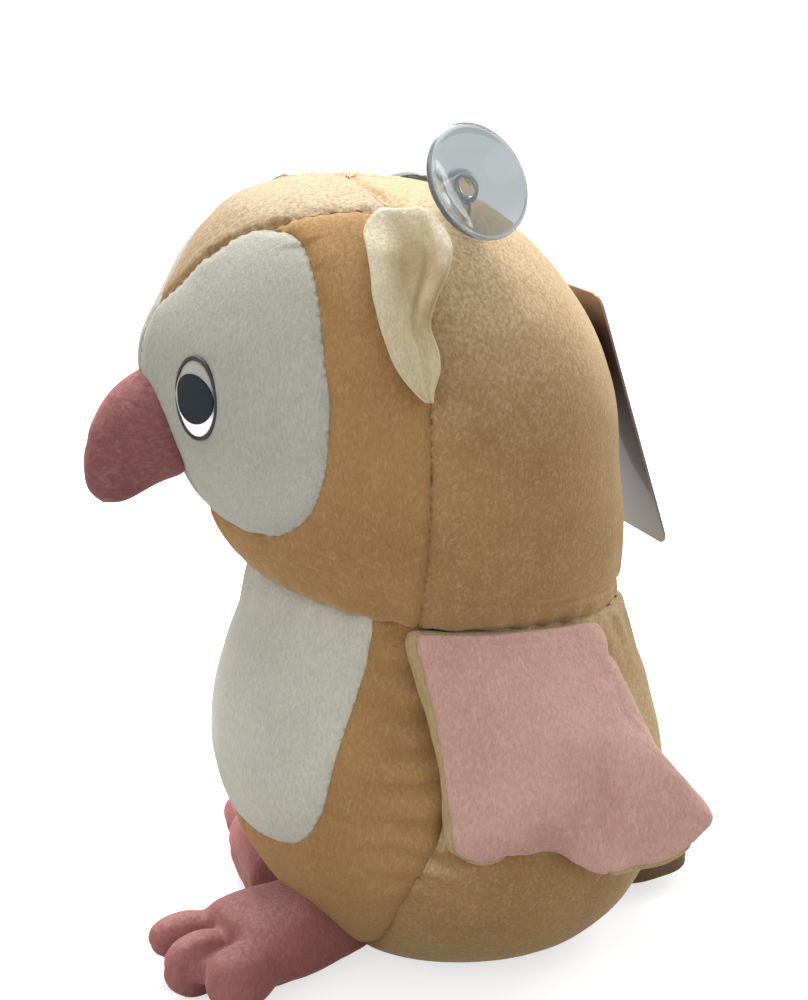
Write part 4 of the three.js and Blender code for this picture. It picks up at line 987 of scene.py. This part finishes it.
def build_filling():
    for name, form, shares in (("head", HEAD, (0.12, 0.995)), ("body", BODY, (0, 0.82))):
        points, faces = tube(form_rings(form, np.linspace(*shares, 24), 48, FILLING_INSET))
        piece = mesh_object(f"{name}_filling", points, faces)
        settle(piece, FILLING, "plush", [f"{name}_stuffing"])


# Beak, feet and tail

FOOT_GRAIN, FOOT_SMOOTHING = 1.5, 6
FOOT_LUMPS = ((0.7, 14, 10), (0.25, 6, 11))
TOE_LINE_SHARE = 0.155
INNER_TOE_THINNER, INNER_TOE_LIFT = 0.3, 3
MIDDLE_TOE_AHEAD, OUTER_TOE_BACK, OUTER_TOE_WIDER = 3, 3, 0.2


def bezier(start, bend, end, shares):
    t = np.asarray(shares)[:, None]
    return (1 - t) ** 2 * start + 2 * t * (1 - t) * bend + t ** 2 * end


def limb_mesh(path, side, width, thickness, sections, roundness, rows=40, columns=48):
    """Closed limb along a path function of the length share."""
    along, half_width, half_thickness = spline_rows(sections, np.linspace(0, 1, rows)).T
    along = clamped(along)
    centre = path(along)
    tangent = unit(path(clamped(along + 0.01)) - path(clamped(along - 0.01)))
    up = unit(np.cross(tangent, side))
    angle = np.arange(columns) * 2 * np.pi / columns
    wide = half_width[:, None] * width / 2 * signed_power(np.cos(angle), 2 / roundness)
    tall = half_thickness[:, None] * thickness / 2 * signed_power(np.sin(angle), 2 / roundness)
    return tube(centre[:, None, :] + wide[..., None] * side + tall[..., None] * up[:, None, :])


def joined(parts):
    points, faces, start = [], [], 0
    for part_points, part_faces in parts:
        points.append(part_points)
        faces += [[corner + start for corner in face] for face in part_faces]
        start += len(part_points)
    return np.vstack(points), faces


def remeshed(piece, voxel, smoothing):
    """Melts overlapping closed skins into one."""
    remesh = piece.modifiers.new("remesh", "REMESH")
    remesh.mode = "VOXEL"
    remesh.voxel_size = voxel * MM
    remesh.use_smooth_shade = True
    smooth = piece.modifiers.new("smooth", "SMOOTH")
    smooth.factor = 0.5
    smooth.iterations = smoothing
    return applied(piece)


def beak_path(shares):
    front = form_place(HEAD, np.zeros(1), np.array([BEAK_ROOT_Z]), -1)[0]
    root = np.array([0, front + BEAK_INSET, BEAK_ROOT_Z], float)
    bend = root + [0, -BEAK_REACH * BEAK_BEND_SHARE, -3]
    tip = root + [0, -BEAK_REACH * BEAK_TIP_SHARE, -BEAK_DROOP]
    return bezier(root, bend, tip, shares)


def build_beak():
    piece = fix_normals(mesh_object("beak_plush", *limb_mesh(
        beak_path, np.array([1, 0, 0]), BEAK_WIDTH, BEAK_HEIGHT, BEAK_SECTIONS, BEAK_ROUNDNESS, 60, 72)))
    points = mesh_points(piece)
    x, y, z = points.T
    push = 0.35 * lumps(points, 12, 9) - groove(y - form_place(HEAD, x, z, -1), 1.2, 2.2)
    push -= groove(z - BEAK_ROOT_Z + 9, 0.4, 2.5) * clamped((y + 112) / -10)
    set_points(piece, points + mesh_normals(piece) * push[:, None])
    settle(piece, ROSE_BEAK_PAINTED_SHADE, "plush", ["beak_skin", "beak_stuffing"])


def foot_parts(side):
    """Foot with its inner toe thin and raised, its middle toe longest and its outer toe widest."""
    middle = FOOT_THICKNESS / 2 - FOOT_FLAT_CUT

    def ahead(from_x, from_y, angle, length, thickness, lift=0):
        rise = middle - (FOOT_THICKNESS - thickness) / 2 * 0.8 + lift
        way = np.array([math.sin(angle), -math.cos(angle), 0]) * length
        return lambda shares: np.array([from_x, from_y, rise], float) + np.asarray(shares)[:, None] * way

    parts = [limb_mesh(
        ahead(0, 0, 0, FOOT_LENGTH - 5, FOOT_THICKNESS), np.array([1, 0, 0]), FOOT_WIDTH,
        FOOT_THICKNESS, FOOT_SECTIONS, FOOT_ROUNDNESS)]
    for share in TOE_FAN:
        outward = side * np.sign(share)
        inner, outer = max(0, -outward), max(0, outward)
        angle = TOE_FAN_ANGLE * np.sign(share)
        start = TOE_LENGTH / 2 - FOOT_LENGTH - MIDDLE_TOE_AHEAD * (1 - abs(outward)) + OUTER_TOE_BACK * outer
        path = ahead(FOOT_WIDTH * share, start, angle, TOE_LENGTH, TOE_THICKNESS, INNER_TOE_LIFT * inner)
        parts.append(limb_mesh(
            path, np.array([math.cos(angle), math.sin(angle), 0]),
            TOE_WIDTH * (1 + OUTER_TOE_WIDER * outward), TOE_THICKNESS * (1 - INNER_TOE_THINNER * inner),
            TOE_SECTIONS, TOE_ROUNDNESS))
    return joined(parts)


def build_feet():
    for side_name, side in SIDES:
        foot = FEET[side_name]
        piece = fix_normals(mesh_object(f"foot_{side_name}_plush", *foot_parts(side)))
        points = mesh_points(remeshed(piece, FOOT_GRAIN, FOOT_SMOOTHING))
        x, y, z = points.T
        push = 0.5 + bumps(points, FOOT_LUMPS) - groove(z - FOOT_THICKNESS * 0.42, 0.5, 1.3)
        toe_line = np.abs(np.abs(x) - FOOT_WIDTH * TOE_LINE_SHARE)
        push -= groove(toe_line, 1.6, 1.8) * clamped((-y - (FOOT_LENGTH - 10)) / 7)
        x, y, z = (points + mesh_normals(piece) * push[:, None]).T
        cosine, sine = math.cos(foot["turn"]), math.sin(foot["turn"])
        set_points(piece, np.column_stack([
            foot["x"] + x * cosine - y * sine, foot["y"] + x * sine + y * cosine, np.maximum(z, 0.2)]))
        nodes = [f"foot_skin_{side_name}", f"foot_stuffing_{side_name}"]
        settle(piece, ROSE_FOOT_PAINTED_LIGHT, f"foot_{side_name}", nodes)


def build_tail():
    start = np.array([0, TAIL_ROOT_Y, TAIL_HEIGHT], float)
    way = np.array([0, TAIL_LENGTH, TAIL_THICKNESS / 2 - TAIL_HEIGHT], float)
    piece = fix_normals(mesh_object("tail_plush", *limb_mesh(
        lambda shares: start + np.asarray(shares)[:, None] * way, np.array([-1, 0, 0]),
        TAIL_WIDTH, TAIL_THICKNESS, TAIL_SECTIONS, TAIL_ROUNDNESS)))
    points = mesh_points(piece)
    push = 0.5 * lumps(points, 10, 12) - groove(points[:, 2] - TAIL_THICKNESS / 2, 0.8, 1.2)
    points = points + mesh_normals(piece) * push[:, None]
    points[:, 2] = np.maximum(points[:, 2], 0.2)
    set_points(piece, points)
    settle(piece, TAN_TAIL_PAINTED_SHADE, "tail", ["tail_skin", "tail_stuffing"])


# Ears and wings: two layers of plush sewn round their edge and blown up

CLOTH_FRAMES = 20
CORNER_SHARE = 0.13
PAD_THICKNESS = 1
CORE_SHARE, CORE_SHRINK = 0.6, 0.88
WING_EDGE, WING_DROP, WING_TRIM = 78, 64, 4
WING = {
    "counts": (60, 44), "outer": -5.2, "inner": 3, "span_v": (-0.07, 1), "corners": (0.05, 0.035),
    "pressure": 3, "cap": 3.5,
    "layers": (("outer", PINK, "pink_plush"), ("lining", LINING, "tan_plush")),
}
EAR = {
    "counts": (48, 30), "outer": 3, "inner": -2.4, "span_v": (EAR_ROOT_SHARE, 1), "corners": (0, 0),
    "pressure": 2, "cap": 1.5,
    "layers": (("front", EAR_CREAM_PAINTED_SHADE, "cream_plush"), ("back", CREAM, "cream_plush")),
}


def swelled(piece, pressure, cap, sewn):
    """Blows up a closed skin with cloth simulation. Sewn points stay, and none moves past the cap."""
    start = mesh_points(piece)
    cloth = piece.modifiers.new("cloth", "CLOTH")
    settings = cloth.settings
    settings.quality = 5
    settings.mass = 0.15
    settings.tension_stiffness = settings.compression_stiffness = 15
    settings.shear_stiffness = 5
    settings.bending_stiffness = 0.3
    settings.use_pressure = True
    settings.uniform_pressure_force = pressure
    settings.effector_weights.gravity = 0
    group = piece.vertex_groups.new(name="sewn")
    group.add(np.flatnonzero(sewn).tolist(), 1.0, "REPLACE")
    settings.vertex_group_mass = "sewn"
    scene = bpy.context.scene
    for number in range(1, CLOTH_FRAMES + 1):
        scene.frame_set(number)
    move = mesh_points(piece.evaluated_get(bpy.context.evaluated_depsgraph_get())) - start
    piece.modifiers.remove(cloth)
    piece.vertex_groups.clear()
    scene.frame_set(1)
    length = np.linalg.norm(move, axis=1, keepdims=True)
    set_points(piece, start + move * np.minimum(1, cap / np.maximum(length, TINY)))


def refined(piece):
    """Divides a mesh once, smoothly; the materials' numbers of its faces are kept."""
    divide = piece.modifiers.new("divide", "SUBSURF")
    divide.levels = divide.render_levels = 1
    return applied(piece)


def sandwich(name, first, second, count_u, count_v):
    """Closed body between two grids."""
    faces = ring_triangles(count_v, count_u, closed=False).tolist()
    size = count_u * count_v
    flipped = [[corner + size for corner in face[::-1]] for face in faces]
    edge = [(k, k + 1) for k in range(count_u - 1)]
    edge += [(size - 1 - k, size - 2 - k) for k in range(count_u - 1)]
    edge += [((k + 1) * count_u, k * count_u) for k in range(count_v - 1)]
    edge += [((k + 1) * count_u - 1, (k + 2) * count_u - 1) for k in range(count_v - 1)]
    rim = [[b, a, a + size] for a, b in edge] + [[b, a + size, b + size] for a, b in edge]
    return fix_normals(mesh_object(name, np.vstack([first, second]), faces + flipped + rim))


def surface_normals(surface, u, v):
    step = 0.01
    across = surface(u + step, v) - surface(u - step, v)
    along = surface(u, v + step) - surface(u, v - step)
    return unit(np.cross(across, along))


def eased(count, ease=0.55):
    """Shares from 0 to 1 that crowd towards both ends."""
    even = np.linspace(0, 1, count)
    return even * (1 - ease) + ease * (0.5 - 0.5 * np.cos(np.pi * even))


def layer_grid(surface, sizes, thickness, fullness, bend):
    """Grid of points off a surface; corners are the shares cut off its upper and lower corners."""
    v, u = np.meshgrid(eased(sizes["counts"][1]), eased(sizes["counts"][0]), indexing="ij")
    u, v = u.ravel(), v.ravel()
    upper, lower = sizes["corners"]
    low_v, high_v = sizes["span_v"]
    narrow = upper * (1 - rounded(v, CORNER_SHARE)) + lower * (1 - rounded(1 - v, CORNER_SHARE))
    across = 0.5 + (u - 0.5) * (1 - 2 * narrow)
    down = low_v + (high_v - low_v) * v
    points = surface(across, down)
    offset = bend(points, u, v) + thickness * fullness(u, v)
    return points + surface_normals(surface, across, down) * offset[:, None]


def wing_surface(u, v):
    place = clamped(u)
    hang = np.sin(np.pi * clamped(v))
    seam_y = WING_FRONT_Y + WING_SEAM_LENGTH * u
    seam_z = NECK_HEIGHT - seam_y * math.tan(NECK_TILT) - WING_SEAM_DROP
    seam_x = form_half_width(BODY, seam_y, seam_z) + WING_SEAM_OUT
    drop, span = spline_rows(WING_HEM, place).T
    flare = spline_rows(WING_FLARES, place)[:, 0]
    front_z = NECK_HEIGHT - WING_FRONT_Y * math.tan(NECK_TILT) - WING_SEAM_DROP
    hem_x = form_half_width(BODY, WING_FRONT_Y + 0 * seam_y, seam_z) + WING_FLARE * flare
    hem = np.column_stack([hem_x, WING_FRONT_Y + WING_SPAN * span, front_z - WING_FRONT_DROP * drop])
    seam = np.column_stack([seam_x, seam_y, seam_z])
    point = seam + (hem - seam) * v[:, None]
    point[:, 0] += WING_BELLY * hang
    point[:, 1] -= WING_REAR_HOLLOW * hang * place ** 2
    return point


def wing_fullness(u, v):
    border = np.minimum(np.minimum(u, 1 - u) * WING_EDGE, np.minimum(v + 0.03, 1 - v) * WING_DROP)
    return 0.1 + 0.9 * rounded(border, 9) + 0.15 * bell((1 - v) * WING_DROP / 12 - 0.6, 1)


def wing_wrinkles(points, u, v):
    edge = np.exp(-np.minimum(np.minimum(u, 1 - u) * WING_EDGE, (1 - v) * WING_DROP) / 8)
    pucker = np.sin((u * WING_EDGE - v * 20) * 2 * math.pi / 13 + 2 * lumps(points, 14, 13))
    crease = bell(v - 0.22 - 0.55 * (0.85 - u), 0.035) * clamped((u - 0.5) / 0.2)
    hollow = bell(u - 0.74 + 0.1 * v, 0.05) * bell(v - 0.68, 0.2)
    return -0.9 * pucker * edge + 1.4 * crease + 3 * hollow - 1.7 * lumps(points, 20, 15)


def ear_surface(u, v):
    drop, ahead, width = spline_rows(EAR_OUTLINE, clamped(u)).T
    y = SIDE_SEAM_Y + EAR_WIDTH * (width * v - ahead)
    z = EAR_TOP_Z - EAR_LENGTH * drop
    x = form_half_width(HEAD, y, z) + EAR_STAND_OFF + EAR_LIFT * width * v
    return np.column_stack([x, y, z])


def ear_fullness(u, v):
    border = np.minimum(np.minimum(u, 1 - u) * EAR_LENGTH, np.minimum(v + 0.1, 1 - v) * EAR_WIDTH * 0.8)
    return 0.12 + 0.88 * rounded(border, 4)


def ear_curl(points, u, v):
    """Rolled top and front edges round a hollow middle, with one crease down to the waist."""
    middle = np.sin(np.pi * clamped(u)) ** 0.8
    hollow = 3.4 * bell(v - 0.46, 0.26)
    crease = 2 * bell(v - 0.74 + 0.10 * u, 0.07) * clamped((u - 0.10) / 0.12)
    rim = 1.4 * bell(v - 1, 0.14) + bell(v, 0.16)
    return (rim - hollow - crease) * middle + 1.5 * bell(u, 0.15) + 0.6 * lumps(points, 9, 16)


def lining_points(counts):
    """Whether each point of a wing's pad is on the lining, which turns round the edge as a trim."""
    columns, rows = counts
    number = np.arange(2 * columns * rows)
    column, row = number % columns, number % (columns * rows) // columns
    hem = (column < 16) | ((column > 34) & (column < 50))
    turned = (column < WING_TRIM) | ((row >= rows - WING_TRIM // 2) & hem)
    return turned | (number >= columns * rows)


def build_pads(kind, sizes, surface, fullness, bend):
    """Both sides' pads, from the left one: two sewn skins, and the wadding between a wing's."""
    outer, inner = (layer_grid(surface, sizes, sizes[layer], fullness, bend) for layer in ("outer", "inner"))
    count, counts = len(outer), sizes["counts"]
    pad = sandwich(f"{kind}_pad", outer, inner, *counts)
    swelled(pad, sizes["pressure"], sizes["cap"], np.arange(2 * count) % count < counts[0])
    lining = lining_points(counts) if kind == "wing" else np.arange(2 * count) >= count
    corners = lining[mesh_faces(pad)].max(axis=1)
    pad.data.polygons.foreach_set("material_index", corners.astype(np.int32))
    for _, material, _ in sizes["layers"]:
        pad.data.materials.append(material)
    wadding = wadding_mesh(mesh_points(pad).reshape(2, count, 3), counts) if kind == "wing" else None
    refined(pad)
    numbers = read_all(pad.data.polygons, "material_index", 1, np.int32).ravel()
    points, quads = mesh_points(pad), mesh_faces(pad, 4)
    triangles = np.vstack([quads[:, [0, 1, 2]], quads[:, [0, 2, 3]]])
    labels = np.tile(numbers, 2)
    push = 0.25 * lumps(points, 7, 17)
    if kind == "wing":
        seam = tree_distance(seam_tree(points, triangles, labels), points)
        push -= groove(seam, 0.5, 0.9) + groove(seam, 0.15, 0.8) * stitches(points, 0.8)
    points = points + mesh_normals(pad) * push[:, None]
    bpy.data.objects.remove(pad)
    for side_name, side in SIDES:
        body, mirror = f"{kind}_{side_name}", [side, 1, 1]
        for label, (layer, material, slot) in enumerate(sizes["layers"]):
            piece = panel_object(
                f"{kind}_{layer}_{side_name}_plush", points * mirror,
                triangles[labels == label][:, ::side], PAD_THICKNESS)
            settle(piece, material, body, [f"{kind}_{layer}_{side_name}"])
        if kind == "wing":
            core_points, core_faces = wadding
            piece = mesh_object(f"wing_filling_{side_name}", core_points * mirror, core_faces[:, ::side])
            settle(piece, FILLING, body, [f"wing_wadding_{side_name}"])


def wadding_mesh(skins, counts):
    """Points and faces of the flat wadding between the two skins of a wing."""
    middle = skins.mean(axis=0)
    core = sandwich("wing_core", *(middle + (skin - middle) * CORE_SHARE for skin in skins), *counts)
    points, faces = mesh_points(core), mesh_faces(core)
    bpy.data.objects.remove(core)
    centre = points.mean(axis=0)
    return centre + (points - centre) * CORE_SHRINK, faces


# Eyes

EYE_SEGMENTS = 72
EYE_RIM = 0.9
EYE_PLATE_TOP = 0.3 + EYE_PLATE
AXIS = 0.001
PUPIL_SHARE, PUPIL_HEIGHT_SHARE, PUPIL_THICKNESS = 0.99, 0.66, 0.16
PRINT_LIFT = 0.12


def eye_matrix(side):
    def skin(x, z):
        return np.array([side * x, form_place(HEAD, np.array([x]), np.array([z]), -1)[0], z])
    half_width = side * EYE_WIDTH / 2
    half_height = EYE_HEIGHT / 2
    across = unit(skin(EYE_X + half_width, EYE_Z) - skin(EYE_X - half_width, EYE_Z))
    rise = skin(EYE_X, EYE_Z + half_height) - skin(EYE_X, EYE_Z - half_height)
    outward = unit(np.cross(across, rise))
    up = np.cross(outward, across)
    return np.column_stack([across, up, outward]), skin(EYE_X, EYE_Z) - outward * EYE_SINK


def revolved(profile, segments, oval=1.0):
    """Points and faces of a profile of (radius, height) turned about the height axis."""
    angle = np.arange(segments) * 2 * np.pi / segments
    ring = np.column_stack([np.cos(angle), np.sin(angle) * oval])
    points = np.vstack([
        np.column_stack([ring * radius, np.full(segments, height)]) for radius, height in profile])
    return points, ring_triangles(len(profile), segments).tolist()


def placed_object(name, points, faces, basis, place):
    return fix_normals(mesh_object(name, points @ basis.T + place, faces))


def eye_rise(share):
    """Height of the white and the pupil, curved a little under the clear dome."""
    return EYE_PLATE_TOP + PRINT_LIFT + (EYE_DOME - 1.5) * math.sqrt(max(0, 1 - 0.96 * share ** 2))


def build_eyes():
    oval = EYE_HEIGHT / EYE_WIDTH
    radius, top = EYE_WIDTH / 2, EYE_PLATE_TOP
    inside = radius - EYE_RIM
    flat = inside - 0.05
    inward = np.linspace(1, 0, 12)
    dome = [(AXIS, top + 0.35)] + [
        (inside * math.cos(angle) + AXIS, top + 0.5 + (EYE_DOME - 0.1) * math.sin(angle))
        for angle in np.linspace(0, np.pi / 2, 24)]
    back = [
        (AXIS, -0.2), (radius - 0.3, -0.2), (radius, 0.3), (radius, top + 0.5),
        (radius - 0.25, top + 0.85), (radius - 0.7, top + 0.75), (inside, top + 0.3),
        (inside, top), (AXIS, top)]
    white = [(AXIS, top + 0.02), (flat, top + 0.02)] + [
        (flat * share + AXIS, eye_rise(share)) for share in inward]
    wide = PUPIL_SHARE * inside
    pupil = [(AXIS, 0), (wide, 0)] + [(wide * share + AXIS, PUPIL_THICKNESS) for share in inward]
    parts = (
        ("dome", dome, oval, DOME, "eye_dome", "eye_lens"),
        ("back", back, oval, BLACK, "eye_black", "eye_backing"),
        ("white", white, oval, EYE_WHITE, "white_plastic", None),
        ("pupil", pupil, oval * PUPIL_HEIGHT_SHARE, PUPIL, "eye_black", None),
    )
    for side_name, side in SIDES:
        for name, profile, stretch, material, slot, node in parts:
            points, faces = revolved(profile, EYE_SEGMENTS, stretch)
            if name == "pupil":
                reach = np.hypot(points[:, 0], points[:, 1] / oval) / inside
                points[:, 2] += [eye_rise(share) for share in reach]
            piece = placed_object(f"eye_{name}_{side_name}", points, faces, *eye_matrix(side))
            settle(piece, material, "plush", [f"{node}_{side_name}"] if node else ())


# Suction cups, loops and tag

LEFT_CUP_AIM = unit([0.875, 0.267, 0.403])
CUP_SEAM_X, CUP_SEAM_Y = 35.9, -18.7
KNOB_REST_SHARE = 0.72
RIGHT_CUP_X, RIGHT_CUP_Y = -33, 3.5
RIGHT_CUP_CLEARANCE = 0.7
RIGHT_CUP_LEAN = math.radians(6)
KNOB_SHAPE = ((0.8, 0.12), (1, 0.4), (0.85, 0.8))
BACK_SHAPE = ((0.18, 0.03), (0.30, 0.10), (0.58, 0.32), (0.82, 0.62))
BELL_SHAPE = ((0.80, 0.62), (0.56, 0.32), (0.28, 0.12))


def cup_profile():
    """The knob, the back of the bell, its lip and its hollow."""
    neck = CUP_KNOB_LENGTH + CUP_NECK_LENGTH
    lip = neck + CUP_BELL
    low_neck = [CUP_NECK_RADIUS, neck - 0.6]
    knob = [[0.01, 0]] + [[CUP_KNOB_RADIUS * radius, CUP_KNOB_LENGTH * rise] for radius, rise in KNOB_SHAPE]
    knob += [[CUP_NECK_RADIUS, CUP_KNOB_LENGTH * 1.1], low_neck]
    back = [low_neck] + [[CUP_RADIUS * radius, neck + CUP_BELL * rise] for radius, rise in BACK_SHAPE]
    inside = [[CUP_RADIUS - CUP_LIP, lip]] + [
        [CUP_RADIUS * radius, neck + CUP_WALL + CUP_BELL * rise] for radius, rise in BELL_SHAPE]
    return np.vstack([
        spline_curve(knob, 26), spline_curve(back + [[CUP_RADIUS, lip - CUP_WALL]], 26)[1:],
        [[CUP_RADIUS + 0.15, lip - CUP_WALL / 2]],
        spline_curve(inside + [[0.01, neck + CUP_WALL + CUP_BELL * 0.06]], 22),
    ])


def basis_along(aim):
    aim = unit(aim)
    helper = np.array([0, 0, 1]) if abs(aim[2]) < 0.9 else np.array([1, 0, 0])
    across = unit(np.cross(helper, aim))
    return np.column_stack([across, np.cross(aim, across), aim])


def build_cups():
    points, faces = revolved(cup_profile(), 96)
    length = CUP_KNOB_LENGTH + CUP_NECK_LENGTH + CUP_BELL
    rest = np.array([0, 0, CUP_KNOB_RADIUS * KNOB_REST_SHARE])
    left_knob = head_point(CUP_SEAM_X, CUP_SEAM_Y) + LEFT_CUP_AIM * 0.6 + rest
    lean = Matrix.Rotation(RIGHT_CUP_LEAN, 3, Vector((-1, 0, 0)))
    right_aim = np.array(lean @ Vector(-head_normal(RIGHT_CUP_X, RIGHT_CUP_Y)))
    right_knob = head_point(RIGHT_CUP_X, RIGHT_CUP_Y) - right_aim * (RIGHT_CUP_CLEARANCE + length)
    for side_name, knob, aim in (("left", left_knob, LEFT_CUP_AIM), ("right", right_knob, right_aim)):
        cup = placed_object(f"cup_{side_name}", points, faces, basis_along(aim), knob)
        settle(cup, CLEAR, f"cup_{side_name}", [f"suction_cup_{side_name}"])
        centre = knob + aim * (CUP_KNOB_LENGTH + CUP_NECK_LENGTH / 2)
        anchor = head_point(*centre[:2]) if side_name == "left" else head_point(-CUP_SEAM_X, CUP_SEAM_Y)
        build_loop(side_name, centre, aim, anchor)


def build_loop(side_name, centre, aim, anchor):
    """Cord round a cup's neck, with a tail into the crown seam."""
    ring = CUP_NECK_RADIUS + 0.3 + LOOP_CORD_RADIUS
    angle = np.arange(48) * 2 * np.pi / 48
    circle = centre + np.column_stack([np.cos(angle), np.sin(angle)]) @ basis_along(aim)[:, :2].T * ring
    to_anchor = anchor - centre
    sideways = unit(to_anchor - aim * to_anchor.dot(aim))
    start = centre + sideways * ring
    end = anchor - head_normal(anchor[0], anchor[1]) * CUP_KNOB_LENGTH
    bend = start + sideways * np.linalg.norm(start - anchor) * 0.7
    tail = bezier(start, bend, end, np.linspace(0, 1, 24))
    curve = bpy.data.curves.new(f"loop_{side_name}", "CURVE")
    curve.dimensions = "3D"
    curve.bevel_depth = LOOP_CORD_RADIUS * MM
    curve.bevel_resolution = 6
    curve.use_fill_caps = True
    for points, cyclic in ((circle, True), (tail, False)):
        spline = curve.splines.new("POLY")
        spline.points.add(len(points) - 1)
        for place, point in zip(spline.points, points):
            place.co = (*(point * MM), 1)
        spline.use_cyclic_u = cyclic
        spline.use_smooth = True
    piece = linked(f"loop_{side_name}", curve)
    settle(piece, CORD, f"cup_{side_name}", [f"cup_loop_{side_name}"])


def dress_cad(name, material):
    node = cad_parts[name]
    for slot in node.material_slots:
        slot.material = material
    if not node.material_slots:
        node.data.materials.append(material)


# Studio

WORLD_STRENGTH = 0.56
FLOOR_GLOW = 0.68
FLOOR_REACH, FLOOR_DROP = 6, 0.0004
LAMP_AIM = Vector((0, -0.01, 0.12))
WARM, COOL = (1.0, 0.98, 0.95), (0.95, 0.98, 1.0)
LAMPS = (
    ("key", (-0.55, 0.05, 1.15), 0.7, 22, WARM), ("back", (-0.35, 1.1, 0.65), 0.8, 8, WARM),
    ("front", (0.6, -1.1, 0.6), 0.9, 4, COOL), ("side", (1.3, 0.3, 0.7), 0.9, 3, WARM),
)


def build_world():
    """Soft light all round, and white where the background is seen."""
    world = bpy.data.worlds.new("world")
    bpy.context.scene.world = world
    nodes = Nodes(world, "Background")
    nodes.set(Color=(0.93, 0.96, 1.0, 1), Strength=WORLD_STRENGTH)
    white = nodes.add("ShaderNodeBackground", {"Color": grey(1), "Strength": 1})
    mix = nodes.add("ShaderNodeMixShader", {
        "Fac": nodes.seen(), 1: nodes.shader.outputs[0], 2: white.outputs[0]})
    nodes.feed(mix.outputs[0], nodes.tree.nodes["World Output"].inputs["Surface"])


def build_floor():
    """Pale floor that takes the shadow and fades to the white of the backdrop away from the owl."""
    mesh = bpy.data.meshes.new("floor")
    corners = ((-1, -1), (1, -1), (1, 1), (-1, 1))
    mesh.from_pydata([(FLOOR_REACH * x, FLOOR_REACH * y, 0) for x, y in corners], [], [(0, 1, 2, 3)])
    floor = linked("floor", mesh)
    floor.location.z = -FLOOR_DROP
    nodes = material_nodes("floor_white")
    fade = nodes.ramp(nodes.length(nodes.place()), (0.15, grey(FLOOR_GLOW)), (0.75, grey(1)))
    nodes.set(
        Base_Color=grey(0.5), Roughness=0.9, Specular_IOR_Level=0.1, Emission_Color=grey(1),
        Emission_Strength=nodes.maths("MULTIPLY", fade, nodes.seen()))
    mesh.materials.append(nodes.owner)


def build_lamps():
    for name, place, size, power, colour in LAMPS:
        data = bpy.data.lights.new(name, "AREA")
        data.shape = "DISK"
        data.size, data.energy, data.color = size, power, colour
        lamp = linked(name, data)
        lamp.location = place
        lamp.rotation_euler = (LAMP_AIM - Vector(place)).to_track_quat("-Z", "Y").to_euler()


make_camera()
bpy.context.scene.view_settings.view_transform = "Standard"
build_world()
build_floor()
build_lamps()
build_head()
build_body()
build_base()
build_filling()
build_beak()
build_eyes()
build_pads("ear", EAR, ear_surface, ear_fullness, ear_curl)
build_pads("wing", WING, wing_surface, wing_fullness, wing_wrinkles)
build_feet()
build_tail()
build_cups()
dress_cad("hang_tag", CARD)
dress_cad("tag_tack", PLASTIC)
dress_cad("eye_washer_left", PLASTIC)
dress_cad("eye_washer_right", PLASTIC)
